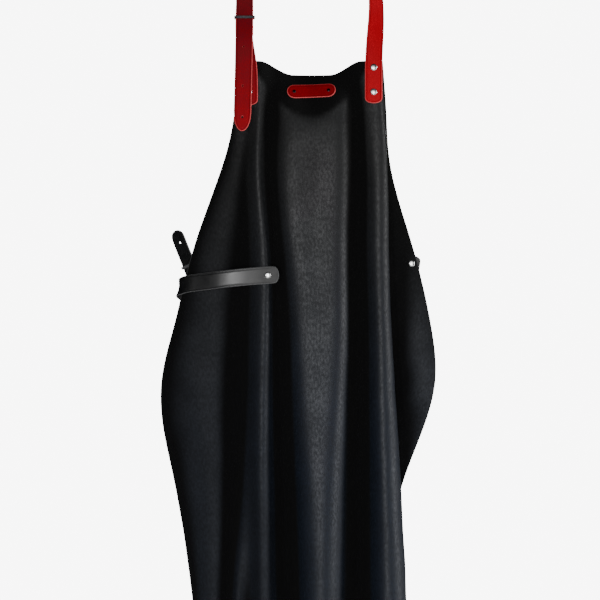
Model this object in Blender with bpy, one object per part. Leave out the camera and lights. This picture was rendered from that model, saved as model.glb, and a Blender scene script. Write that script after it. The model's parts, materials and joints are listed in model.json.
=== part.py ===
"""A leather work apron hanging by its neck strap from a wall hook.

Metres, +Z up. The origin is the centre of the hook plate's back face, the wall is the plane y = 0,
and the apron's front faces -Y. The apron's own x starts at the middle of its bib: an empty carries
the apron across so that its weight hangs straight below the hook. A place on the hide is given as
that x and its `drop` below the bib's top.
"""

import math

import bmesh
import bpy
import numpy as np
from mathutils import Matrix, Vector
from mathutils.bvhtree import BVHTree

# Clearances
TOUCH = 0.0003  # between two pieces that bear on each other
SWING_ROOM = 0.0023  # between the strap over the hook and the strap that swings below it

# Wall hook
PLATE_SIZE = Vector((0.034, 0.004, 0.100))
PLATE_CORNER = 0.008
ARM_RADIUS = 0.006
ARM_BELOW = 0.015  # arm's axis below the plate's centre
ARM_REACH = 0.110
ARM_RISE = 0.030
ARM_BEND = 0.018
SCREW_SPREAD = 0.070
SCREW_RADIUS = 0.002
SCREW_HEAD_RADIUS = 0.0045
SCREW_HEAD_HEIGHT = 0.0022

# Straps and fittings
STRAP_WIDTH = 0.025
STRAP_THICK = 0.0024
SADDLE_Y = -0.077
SADDLE_LEAVE = math.radians(70)  # where the strap leaves the arm, from its top
RIVET_SHANK = 0.0015
RIVET_CAP_RADIUS = 0.0047
RIVET_CAP_HEIGHT = 0.0014
FOLD_CAP_RADIUS = 0.0032
LABEL_CAP_RADIUS = 0.0026
BUCKLE_WIRE = 0.0018
BUCKLE_WINDOW = 0.024
BUCKLE_CORNER = 0.0045
BUCKLE_ROOM = 0.0012  # either side of the strap
TONGUE_RADIUS = 0.0012
KEEPER_WALL = 0.0011
KEEPER_HEIGHT = 0.004
KEEPER_ROOM = 0.0014  # either side of the strap

TURN_STEP = 0.45  # most that a strap turns from one ring to the next

# Apron hide
HIDE_THICK = 0.0015
BIB_DROP = 0.400  # bib's top below the arm's axis
HOOK_X = -0.010  # the hook in the apron's own x, above its centre of mass
APRON_Y = -0.084
APRON_HEIGHT = 0.860
NECK_DIP = 0.019
NECK_FLAT = 0.12
NECK_SHOULDER = 0.35
HEM_CORNER = 0.040
COWL_LEAN = math.tan(math.radians(14))
COWL_DEEP = 0.060
COWL_HALF = 0.058
COWL_TOP = 0.025
COWL_ROUND = 0.006

# Half of the cut hide's width at each drop: bib, armhole, then straight sides.
CUT_DROPS = [0.000, 0.075, 0.145, 0.257, 0.372, 0.465, 0.605, APRON_HEIGHT]
CUT_HALVES = [0.106, 0.118, 0.144, 0.194, 0.240, 0.272, 0.275, 0.275]

# How the hide hangs: for each drop in CUT_DROPS, the turning points of its section as (x, forward)
# in millimetres, from its left edge over three front folds and round the right fold to its right edge.
FOLDS = [
    [(-107, -1), (-98, 0), (-90, 0), (-85, 0), (-81, 0), (-77, 0), (-70, 0), (-58, -2), (-42, -2), (3, -3),
     (50, -3), (62, -3), (77, 0), (95, 0), (97, -1), (99, -2), (101, -3), (103, -4)],
    [(-110, -2), (-101, 0), (-93, 0), (-87, 0), (-83, 0), (-80, 1), (-74, 3), (-60, -4), (-43, 3), (4, 8),
     (49, 4), (65, -5), (82, 2), (103, 1), (105, -3), (106, -6), (107, -8), (108, -10)],
    [(-126, -14), (-114, -6), (-102, -4), (-96, -5), (-90, -3), (-85, 2), (-77, 8), (-60, -5), (-46, 8),
     (3, 14), (49, 9), (70, -8), (93, 8), (108, 1), (107, -7), (106, -12), (109, -14), (114, -15)],
    [(-166, -22), (-142, -12), (-112, -9), (-96, -10), (-88, -5), (-80, 5), (-68, 12), (-53, -9), (-37, 12),
     (6, 18), (45, 12), (70, -15), (97, 11), (111, 0), (108, -15), (106, -22), (122, -25), (145, -26)],
    [(-196, -28), (-157, -15), (-118, -12), (-101, -14), (-90, -6), (-80, 7), (-67, 15), (-47, -13),
     (-25, 13), (12, 20), (45, 14), (72, -19), (100, 13), (114, 0), (108, -19), (105, -27), (132, -29),
     (173, -30)],
    [(-217, -28), (-171, -14), (-122, -12), (-103, -16), (-92, -6), (-83, 7), (-70, 17), (-44, -15),
     (-21, 14), (12, 22), (42, 15), (72, -21), (101, 14), (119, 0), (110, -23), (106, -31), (136, -31),
     (180, -28)],
    [(-198, -30), (-161, -15), (-125, -14), (-112, -19), (-96, -1), (-86, 8), (-71, 20), (-39, -19),
     (-14, 15), (13, 25), (38, 16), (72, -25), (103, 16), (128, 0), (115, -27), (106, -37), (118, -39),
     (136, -38)],
    [(-165, -34), (-150, -20), (-136, -18), (-126, -21), (-112, 9), (-97, -2), (-72, 24), (-32, -23),
     (-4, 17), (13, 27), (34, 17), (72, -29), (107, 18), (139, 0), (122, -33), (108, -43), (112, -47),
     (118, -46)],
]
FOLD_COLUMNS = 52
FOLD_ROWS = 26

# Places on the apron: x across, then drop below the bib's top
RIGHT_STRAP_X = 0.0897
LEFT_STRAP_X = -0.0888
STRAP_END_DROP = 0.0615
NECK_RIVET_DROPS = (0.010, 0.045)
LABEL_PLACE = (0.0007, 0.0436)
LABEL_SIZE = (0.070, 0.021, 0.0016)
LABEL_RIVET_X = 0.025
LABEL_TILT = math.radians(2)
WAIST_RIVET = (-0.0615, 0.3075)
BILLET_RIVET = (0.146, 0.290)
NECK_BUCKLE_BAR = (-0.0950, 0.1150)  # x across, then height above the bib's top
NECK_KEEPER_RISE = 0.0615
WAIST_BUCKLE_BAR = (-0.118, -0.036, 0.385)  # x, y and drop
WAIST_BUCKLE_SLOPE = math.radians(52)
WAIST_EDGE = (-0.1900, -0.064, 0.3255)
STRAP_TAUT = (-0.098, 1.77)
WAIST_TAIL_TWIST = math.radians(38)

BIB_Z = -ARM_BELOW - BIB_DROP
ACROSS = Vector((1, 0, 0))
FRONT = Vector((0, -1, 0))


# ---------------------------------------------------------------- scene and materials


def clear_scene():
    for old in list(bpy.data.objects):
        bpy.data.objects.remove(old)


def material(name, colour, roughness, metallic=0.0):
    made = bpy.data.materials.new(name)
    made.use_nodes = True
    shader = made.node_tree.nodes["Principled BSDF"]
    shader.inputs["Base Color"].default_value = (*colour, 1)
    shader.inputs["Roughness"].default_value = roughness
    shader.inputs["Metallic"].default_value = metallic
    return made


def finish(name, bm, look, pivot=None):
    """Make the mesh an object, its faces outwards and its origin on `pivot`."""
    bmesh.ops.recalc_face_normals(bm, faces=bm.faces)
    if pivot is not None:
        bmesh.ops.translate(bm, verts=bm.verts, vec=-Vector(pivot))
    mesh = bpy.data.meshes.new(name)
    bm.to_mesh(mesh)
    bm.free()
    mesh.shade_smooth()
    mesh.set_sharp_from_angle(angle=math.radians(40))
    mesh.materials.append(look)
    obj = bpy.data.objects.new(name, mesh)
    obj.location = pivot or (0, 0, 0)
    obj.parent = bpy.data.objects.get("apron_hang")
    bpy.context.scene.collection.objects.link(obj)
    return obj


def make_hang():
    """The empty that carries the apron, which every later piece is parented to."""
    hang = bpy.data.objects.new("apron_hang", None)
    hang.location = (-HOOK_X, 0, 0)
    bpy.context.scene.collection.objects.link(hang)


def cut(obj, cutter_mesh, name):
    """Drill `obj` with a mesh that stays in the scene as a wire guide."""
    cutter = finish(name, cutter_mesh, obj.data.materials[0])
    cutter.hide_render = True
    cutter.display_type = "WIRE"
    hole = obj.modifiers.new(name, "BOOLEAN")
    hole.operation = "DIFFERENCE"
    hole.solver = "EXACT"
    hole.object = cutter


# ---------------------------------------------------------------- curves


def spline(knots, values, at):
    """A natural cubic spline through the rows of `values`, read at `at`."""
    knots = np.asarray(knots, float)
    values = np.asarray(values, float)
    at = np.asarray(at, float)
    gaps = np.diff(knots)
    slopes = np.diff(values, axis=0) / gaps.reshape(-1, *[1] * (values.ndim - 1))
    count = len(knots)
    system = np.eye(count)
    right = np.zeros_like(values)
    for i in range(1, count - 1):
        system[i, i - 1 : i + 2] = gaps[i - 1], 2 * (gaps[i - 1] + gaps[i]), gaps[i]
        right[i] = 6 * (slopes[i] - slopes[i - 1])
    bend = np.linalg.solve(system, right.reshape(count, -1)).reshape(values.shape)
    low = np.clip(np.searchsorted(knots, at, "right") - 1, 0, count - 2)
    shape = (-1, *[1] * (values.ndim - 1))
    span = gaps[low].reshape(shape)
    before = (knots[low + 1] - at).reshape(shape)
    after = (at - knots[low]).reshape(shape)
    curve = (bend[low] * before**3 + bend[low + 1] * after**3) / (6 * span)
    line = values[low] * before + values[low + 1] * after
    return curve + line / span - span * (bend[low] * before + bend[low + 1] * after) / 6


def lengths_along(points):
    return np.concatenate([[0], np.cumsum(np.linalg.norm(np.diff(points, axis=0), axis=1))])


def smooth_route(points, spacing):
    """Points on a smooth curve through `points`, up to `spacing` apart and closer where it bends, with
    each one's direction, its distance along the curve, and those of the points given."""
    points = np.array([tuple(p) for p in points])
    knots = lengths_along(points)
    fine = spline(knots, points, np.linspace(0, knots[-1], 1500))
    run = lengths_along(fine)
    ways = np.gradient(fine, axis=0)
    ways /= np.linalg.norm(ways, axis=1)[:, None]
    turning = np.concatenate([[0], np.cumsum(np.linalg.norm(np.diff(ways, axis=0), axis=1))])
    effort = run / spacing + turning / TURN_STEP
    wanted = np.linspace(0, effort[-1], max(2, math.ceil(effort[-1]) + 1))
    at = np.interp(wanted, effort, run)
    places = np.stack([np.interp(at, run, fine[:, k]) for k in range(3)], axis=1)
    headings = np.stack([np.interp(at, run, ways[:, k]) for k in range(3)], axis=1)
    given = np.interp(knots, np.linspace(0, knots[-1], 1500), run)
    return places, headings, at, given


# ---------------------------------------------------------------- the draped hide


def cut_half(drops):
    return np.interp(drops, CUT_DROPS, CUT_HALVES)


def sections(drops, fractions):
    """(x, forward) of the hide at each drop and each fraction of its cut width.

    The folds deepen by whatever makes each section as long as the hide is wide there.
    """
    turns = spline(CUT_DROPS, np.array(FOLDS) * 0.001, drops)
    result = np.empty((len(drops), len(fractions), 2))
    for row, (turn, half) in enumerate(zip(turns, cut_half(drops))):
        knots = lengths_along(turn)
        fine = spline(knots, turn, np.linspace(0, knots[-1], 300))
        shallow, deep = 0.3, 3.0
        for _ in range(30):
            depth = (shallow + deep) / 2
            run = lengths_along(fine * (1, depth))
            if run[-1] < 2 * half:
                shallow = depth
            else:
                deep = depth
        at = np.asarray(fractions) * run[-1]
        result[row, :, 0] = np.interp(at, run, fine[:, 0])
        result[row, :, 1] = np.interp(at, run, fine[:, 1] * depth)
    return result


def cowl(x, drop):
    """How far the bib leans back above the curved line where it turns under its own weight."""
    line = COWL_DEEP * (1 - (x / COWL_HALF) ** 2) + COWL_TOP
    above = line - drop
    return COWL_LEAN * COWL_ROUND * np.logaddexp(0, above / COWL_ROUND)


def hide_points(fractions, drops):
    """The middle surface of the hide, for paired arrays of fraction and drop."""
    fractions, drops = np.broadcast_arrays(fractions, drops)
    rows = np.linspace(0, APRON_HEIGHT, 120)
    columns = np.unique(fractions)
    table = sections(rows, columns)
    x = np.empty(fractions.shape)
    forward = np.empty(fractions.shape)
    for k, fraction in enumerate(columns):
        here = fractions == fraction
        x[here] = np.interp(drops[here], rows, table[:, k, 0])
        forward[here] = np.interp(drops[here], rows, table[:, k, 1])
    forward = forward - cowl(x, drops)
    return np.stack([x, APRON_Y - forward, BIB_Z - drops], axis=-1)


def on_hide(x, drop, low=0.0, high=1.0):
    """The place on the hide at this x, searched between two fractions, and its outward direction."""
    fractions = np.linspace(low, high, 400)
    across = hide_points(fractions, np.full(400, drop))
    best = int(np.argmin(abs(across[:, 0] - x)))
    place = across[best]
    side = across[min(best + 2, 399)] - across[max(best - 2, 0)]
    below = hide_points(fractions[best : best + 1], np.array([drop + 0.004]))[0] - place
    outward = Vector(np.cross(below, side)).normalized()
    if outward.y > 0:
        outward = -outward
    return Vector(place), outward


def hide_edges(fractions):
    """The drop of the neckline and of the hem along the hide's width."""
    shoulder = np.clip((NECK_SHOULDER - abs(fractions - 0.5)) / (NECK_SHOULDER - NECK_FLAT), 0, 1)
    neckline = NECK_DIP * shoulder**2 * (3 - 2 * shoulder)
    inset = HEM_CORNER - np.minimum(fractions, 1 - fractions) * 2 * CUT_HALVES[-1]
    rise = HEM_CORNER - np.sqrt(HEM_CORNER**2 - np.clip(inset, 0, HEM_CORNER) ** 2)
    return neckline, APRON_HEIGHT - rise


def panel_columns():
    """Fractions of the width, closer together at the hem's rounded corners."""
    inner = np.linspace(0.02, 0.98, FOLD_COLUMNS - 1)
    return np.concatenate([[0.0], inner, [1.0]])


def make_panel(look):
    fractions = panel_columns()
    neckline, hem = hide_edges(fractions)
    share = np.linspace(0, 1, FOLD_ROWS + 1) ** 1.2
    drops = neckline + share[:, None] * (hem - neckline)
    middle = hide_points(np.broadcast_to(fractions, drops.shape), drops)
    outward = np.cross(np.gradient(middle, axis=1), np.gradient(middle, axis=0))
    outward /= np.linalg.norm(outward, axis=2)[:, :, None]
    bm = bmesh.new()
    skins = []
    for side in (0.5, -0.5):
        skin = middle + outward * HIDE_THICK * side
        skins.append([[bm.verts.new(p) for p in row] for row in skin])
    rows, columns = drops.shape
    for skin in skins:
        for j in range(rows - 1):
            for i in range(columns - 1):
                bm.faces.new((skin[j][i], skin[j][i + 1], skin[j + 1][i + 1], skin[j + 1][i]))
    rim = [(0, i) for i in range(columns)] + [(j, columns - 1) for j in range(1, rows)]
    rim += [(rows - 1, i) for i in range(columns - 2, -1, -1)] + [(j, 0) for j in range(rows - 2, 0, -1)]
    for (j, i), (m, n) in zip(rim, rim[1:] + rim[:1]):
        bm.faces.new((skins[0][j][i], skins[0][m][n], skins[1][m][n], skins[1][j][i]))
    return finish("apron_panel", bm, look)


def faces_at(x, z, layer=0):
    """The front and back of the hide at (x, z), where `layer` counts from the front."""
    mesh = bpy.data.objects["apron_panel"].data
    tree = BVHTree.FromPolygons([v.co for v in mesh.vertices], [p.vertices for p in mesh.polygons])
    start = Vector((x, -1, z))
    found = []
    while len(found) < 2 * layer + 2:
        hit = tree.ray_cast(start, Vector((0, 1, 0)))[0]
        if hit is None:
            return None
        found.append(hit.y)
        start = hit + Vector((0, 1e-5, 0))
    return found[-2:]


def hide_span(places, half_x, half_z):
    """The foremost front and the rearmost back of the hide within a small patch round each place."""
    shares = np.linspace(-1, 1, 5)
    found = [faces_at(x + a * half_x, z + b * half_z) for x, z in places for a in shares for b in shares]
    found = [pair for pair in found if pair]
    return min(front for front, _ in found), max(back for _, back in found)


# ---------------------------------------------------------------- straps


def rounded_half(distance, half, length):
    """Half the width of a strap this far from an end that rounds off over `length`."""
    if length <= 0 or distance >= length:
        return half
    return half * math.sqrt(max(1 - (1 - distance / length) ** 2, 0.06))


def with_end_rings(at, start_round, end_round):
    """More places along a strap where its ends round off."""
    extra = [share * start_round for share in (0.08, 0.3, 0.6) if start_round]
    extra += [at[-1] - share * end_round for share in (0.6, 0.3, 0.08) if end_round]
    kept = [a for a in at if start_round < a < at[-1] - end_round]
    return np.unique(np.concatenate([[0], extra, kept, [at[-1]]]))


def strap(name, route, look, start_round=0.0, end_round=0.0, spacing=0.012, width=STRAP_WIDTH,
          thick=STRAP_THICK, pivot=None):
    """A flat strap along `route`, a list of (point, across): `across` is the way its width lies."""
    places, ways, at, knots = smooth_route([point for point, _ in route], spacing)
    wanted = with_end_rings(at, start_round, end_round)
    places = np.stack([np.interp(wanted, at, places[:, k]) for k in range(3)], axis=1)
    ways = np.stack([np.interp(wanted, at, ways[:, k]) for k in range(3)], axis=1)
    hints = np.array([tuple(across) for _, across in route], float)
    bm = bmesh.new()
    rings = []
    for place, way, run in zip(places, ways, wanted):
        way = Vector(way).normalized()
        hint = Vector([np.interp(run, knots, hints[:, k]) for k in range(3)])
        across = (hint - way * hint.dot(way)).normalized()
        outward = way.cross(across)
        half = min(rounded_half(run, width / 2, start_round),
                   rounded_half(wanted[-1] - run, width / 2, end_round))
        ring = [Vector(place) + across * a * half + outward * b * thick / 2 for a, b in
                ((-1, -1), (1, -1), (1, 1), (-1, 1))]
        rings.append([bm.verts.new(p) for p in ring])
    for first, second in zip(rings, rings[1:]):
        for k in range(4):
            m = (k + 1) % 4
            bm.faces.new((first[k], first[m], second[m], second[k]))
    bm.faces.new(rings[0])
    bm.faces.new(rings[-1][::-1])
    return finish(name, bm, look, pivot)


def turned(profile, place, axis, sides=16):
    """A solid turned from (radius, height) points about `axis` at `place`, as a bmesh."""
    bm = bmesh.new()
    upright = Vector(axis).to_track_quat("Z", "Y").to_matrix()
    rings = []
    for radius, height in profile:
        if radius == 0:
            rings.append([bm.verts.new(Vector(place) + upright @ Vector((0, 0, height)))])
            continue
        ring = []
        for k in range(sides):
            angle = 2 * math.pi * k / sides
            offset = Vector((radius * math.cos(angle), radius * math.sin(angle), height))
            ring.append(bm.verts.new(Vector(place) + upright @ offset))
        rings.append(ring)
    for first, second in zip(rings, rings[1:]):
        for k in range(sides):
            m = (k + 1) % sides
            corners = [first[k % len(first)], first[m % len(first)], second[m % len(second)],
                       second[k % len(second)]]
            bm.faces.new(list(dict.fromkeys(corners)))
    return bm


def rivet(name, place, axis, stack, look, holes, cap=RIVET_CAP_RADIUS):
    """A domed rivet through `stack` of leather centred on `place`, and its hole in each object."""
    reach = stack / 2 + TOUCH
    shank = RIVET_SHANK
    dome = [(cap * math.cos(a), RIVET_CAP_HEIGHT * math.sin(a)) for a in (0, 0.5, 1.0)]
    profile = [(0, -reach - RIVET_CAP_HEIGHT)]
    profile += [(r, -reach - h) for r, h in reversed(dome)]
    profile += [(shank, -reach), (shank, reach)]
    profile += [(r, reach + h) for r, h in dome]
    profile += [(0, reach + RIVET_CAP_HEIGHT)]
    bore = shank + TOUCH
    long = stack / 2 + 0.004
    for number, obj in enumerate(holes):
        cutter = turned([(0, -long), (bore, -long), (bore, long), (0, long)], place, axis, 10)
        cut(obj, cutter, f"{name}_hole_{number}")
    return finish(name, turned(profile, place, axis), look)


# ---------------------------------------------------------------- buckles


def wire_loop(name, corners, corner_radius, radius, frame, look, pivot=None):
    """A closed round wire through rounded corners, given in the buckle's own (x, z)."""
    path = []
    count = len(corners)
    for k, corner in enumerate(corners):
        before = (corners[k - 1] - corner).normalized()
        after = (corners[(k + 1) % count] - corner).normalized()
        start, end = corner + before * corner_radius, corner + after * corner_radius
        for step in range(5):
            t = step / 4
            path.append(start * (1 - t) ** 2 + corner * 2 * t * (1 - t) + end * t**2)
    bm = bmesh.new()
    rings = []
    for k, place in enumerate(path):
        way = (path[(k + 1) % len(path)] - path[k - 1]).normalized()
        side = way.cross(Vector((0, 1, 0))).normalized()
        ring = []
        for s in range(8):
            angle = 2 * math.pi * s / 8
            local = place + (side * math.cos(angle) + Vector((0, 1, 0)) * math.sin(angle)) * radius
            ring.append(bm.verts.new(frame @ local))
        rings.append(ring)
    for k, first in enumerate(rings):
        second = rings[(k + 1) % len(rings)]
        for s in range(8):
            m = (s + 1) % 8
            bm.faces.new((first[s], first[m], second[m], second[s]))
    return finish(name, bm, look, pivot)


def ply_offset():
    """From the bar's centre to the middle of a strap wrapped round it."""
    return BUCKLE_WIRE + 2 * TOUCH + STRAP_THICK / 2


def make_buckle(prefix, frame, looks):
    """The frame and its tongue. The bar lies along the buckle's x at its origin, and z leads to the
    strap that is threaded in."""
    side = STRAP_WIDTH / 2 + BUCKLE_ROOM + BUCKLE_WIRE
    corners = [Vector((-side, 0, 0)), Vector((side, 0, 0)), Vector((side, 0, BUCKLE_WINDOW)),
               Vector((-side, 0, BUCKLE_WINDOW))]
    wire_loop(prefix + "_buckle_frame", corners, BUCKLE_CORNER, BUCKLE_WIRE, frame, looks)
    inner = BUCKLE_WIRE + TOUCH
    ring = [(inner + 2 * TONGUE_RADIUS, -TONGUE_RADIUS), (inner + 2 * TONGUE_RADIUS, TONGUE_RADIUS),
            (inner, TONGUE_RADIUS), (inner, -TONGUE_RADIUS)]
    bm = turned(ring + ring[:1], frame.translation, frame.to_3x3() @ ACROSS, 14)
    bmesh.ops.remove_doubles(bm, verts=bm.verts, dist=1e-6)
    tongue = finish(prefix + "_buckle_tongue", bm, looks, frame.translation)
    front = BUCKLE_WIRE + TOUCH + TONGUE_RADIUS
    root = Vector((0, -0.3 * front, inner + TONGUE_RADIUS))
    tip = Vector((0, -front, BUCKLE_WINDOW + BUCKLE_WIRE + 0.001))
    prong = turned([(0, 0), (TONGUE_RADIUS, 0.0002), (TONGUE_RADIUS * 0.9, (tip - root).length - 0.001),
                    (0, (tip - root).length)], root, tip - root, 10)
    bmesh.ops.transform(prong, matrix=frame, verts=prong.verts)
    bmesh.ops.translate(prong, verts=prong.verts, vec=-frame.translation)
    arm = finish(prefix + "_prong_guide", prong, looks)
    arm.location = frame.translation
    arm.hide_render = True
    arm.display_type = "WIRE"
    weld = tongue.modifiers.new("prong", "BOOLEAN")
    weld.operation = "UNION"
    weld.object = arm


def folded_end(frame, reach, settle):
    """The strap's way up to the bar, over it and back, in the buckle's own frame."""
    out = ply_offset()
    close = STRAP_THICK / 2 + TOUCH / 2
    way = [(-close, -reach - 0.003), (-close, -settle), (-close - 0.0004, -0.016), (-out, -0.004)]
    way += [(-out * math.cos(a), out * math.sin(a)) for a in (0, 0.8, math.pi / 2, math.pi - 0.8, math.pi)]
    way += [(out, -0.004), (close + 0.0004, -0.016), (close, -settle), (close, -reach)]
    return [(frame @ Vector((0, y, z)), frame.to_3x3() @ ACROSS) for y, z in way]


def threaded(frame, above, below, rise):
    """The threaded strap's way: behind the far bar, over the hinge bar, then along the folded strap,
    which it ends `rise` nearer to than at the bar."""
    out = ply_offset()
    over = out + STRAP_THICK + 2 * TOUCH
    way = [(out, above), (out, BUCKLE_WINDOW + 0.001), (out - 0.0008, BUCKLE_WINDOW - 0.004), (-over, 0.003),
           (-over, -0.004), (-over + 0.8 * rise, -0.016), (-over + rise, -below)]
    return [(frame @ Vector((0, y, z)), frame.to_3x3() @ ACROSS) for y, z in way]


def slot_cutter(frame, width, low, high):
    """A box along the buckle's y, between two heights."""
    bm = bmesh.new()
    bmesh.ops.create_cube(bm, size=1)
    bmesh.ops.scale(bm, verts=bm.verts, vec=(width, 0.03, high - low))
    bmesh.ops.translate(bm, verts=bm.verts, vec=(0, 0, (low + high) / 2))
    bmesh.ops.transform(bm, matrix=frame, verts=bm.verts)
    return bm


def keeper(name, frame, centre_y, depth, look):
    """A flat loop round a stack of straps `depth` thick, centred at `centre_y` in its frame."""
    bm = bmesh.new()
    inner = Vector((STRAP_WIDTH / 2 + KEEPER_ROOM, depth / 2 + TOUCH))
    outer = inner + Vector((KEEPER_WALL, KEEPER_WALL))
    rings = []
    for half, z in ((outer, -1), (outer, 1), (inner, 1), (inner, -1)):
        ring = [Vector((x * half.x, centre_y + y * half.y, z * KEEPER_HEIGHT / 2)) for x, y in
                ((-1, -1), (1, -1), (1, 1), (-1, 1))]
        rings.append([bm.verts.new(frame @ p) for p in ring])
    for k, first in enumerate(rings):
        second = rings[(k + 1) % 4]
        for s in range(4):
            m = (s + 1) % 4
            bm.faces.new((first[s], first[m], second[m], second[s]))
    return finish(name, bm, look, frame.translation)


# ---------------------------------------------------------------- the hook


def make_hook(steel):
    size = PLATE_SIZE
    bm = bmesh.new()
    bmesh.ops.create_cube(bm, size=1)
    bmesh.ops.scale(bm, verts=bm.verts, vec=size)
    bmesh.ops.translate(bm, verts=bm.verts, vec=(0, -size.y / 2, 0))
    upright = [e for e in bm.edges if abs(e.verts[0].co.y - e.verts[1].co.y) > size.y / 2]
    bmesh.ops.bevel(bm, geom=upright, offset=PLATE_CORNER, segments=4, affect="EDGES")
    plate = finish("hook_plate", bm, steel)
    for name, side in (("upper", 1), ("lower", -1)):
        place = Vector((0, 0, side * SCREW_SPREAD / 2))
        bore = SCREW_RADIUS + TOUCH
        drill = [(0, -0.001), (bore, -0.001), (bore, size.y + 0.001), (0, size.y + 0.001)]
        cut(plate, turned(drill, place, FRONT, 14), f"screw_hole_{name}")
        face = size.y + TOUCH
        head = SCREW_HEAD_RADIUS
        screw = [(0, TOUCH), (SCREW_RADIUS, TOUCH), (SCREW_RADIUS, face), (head, face), (head, face + 0.0008),
                 (head * 0.7, face + 0.8 * SCREW_HEAD_HEIGHT), (0, face + SCREW_HEAD_HEIGHT)]
        finish(f"wall_screw_{name}", turned(screw, place, FRONT, 14), steel)
    bend = ARM_BEND
    path = [Vector((0, -size.y - TOUCH, -ARM_BELOW)), Vector((0, -0.03, -ARM_BELOW))]
    turn = Vector((0, -ARM_REACH + bend, -ARM_BELOW + bend))
    for k in range(8):
        angle = math.radians(10 + 70 * k / 7)
        path.append(turn + Vector((0, -math.sin(angle), -math.cos(angle))) * bend)
    path.append(Vector((0, -ARM_REACH, -ARM_BELOW + ARM_RISE)))
    spline_radii = [1.0] * (len(path) - 1) + [0.95]
    curve = bpy.data.curves.new("hook_arm", "CURVE")
    curve.dimensions = "3D"
    curve.bevel_depth = ARM_RADIUS
    curve.bevel_resolution = 3
    curve.use_fill_caps = True
    line = curve.splines.new("POLY")
    line.points.add(len(path) - 1)
    for point, place, radius in zip(line.points, path, spline_radii):
        point.co = (*place, 1)
        point.radius = radius
    curve.materials.append(steel)
    arm = bpy.data.objects.new("hook_arm", curve)
    bpy.context.scene.collection.objects.link(arm)


# ---------------------------------------------------------------- the apron


def bib_strap_y(x):
    """The middle of a strap that lies on the bib's front."""
    lowest = STRAP_END_DROP + 0.003
    places = [(x, BIB_Z - drop) for drop in (0.013, lowest / 2, lowest - 0.013)]
    front, _ = hide_span(places, STRAP_WIDTH / 2, 0.0125)
    return front - 2 * TOUCH - STRAP_THICK / 2


def hide_rivet(name, x, z, strap_y, look, holes):
    """A rivet that holds a strap to the hide behind it."""
    front = strap_y - STRAP_THICK / 2 - 2 * TOUCH
    rear = hide_span([(x, z)], RIVET_CAP_RADIUS, RIVET_CAP_RADIUS)[1]
    rivet(name, Vector((x, (front + rear) / 2, z)), FRONT, rear - front, look, holes)


def at_drop(x, y, drop):
    return Vector((x, y, BIB_Z - drop))


def saddle_radius():
    """From the arm's axis to the middle of the strap over it."""
    return ARM_RADIUS + 2 * TOUCH + STRAP_THICK / 2


def saddle_point(angle):
    radius = saddle_radius()
    return Vector((HOOK_X + radius * math.sin(angle), SADDLE_Y, -ARM_BELOW + radius * math.cos(angle)))


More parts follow.
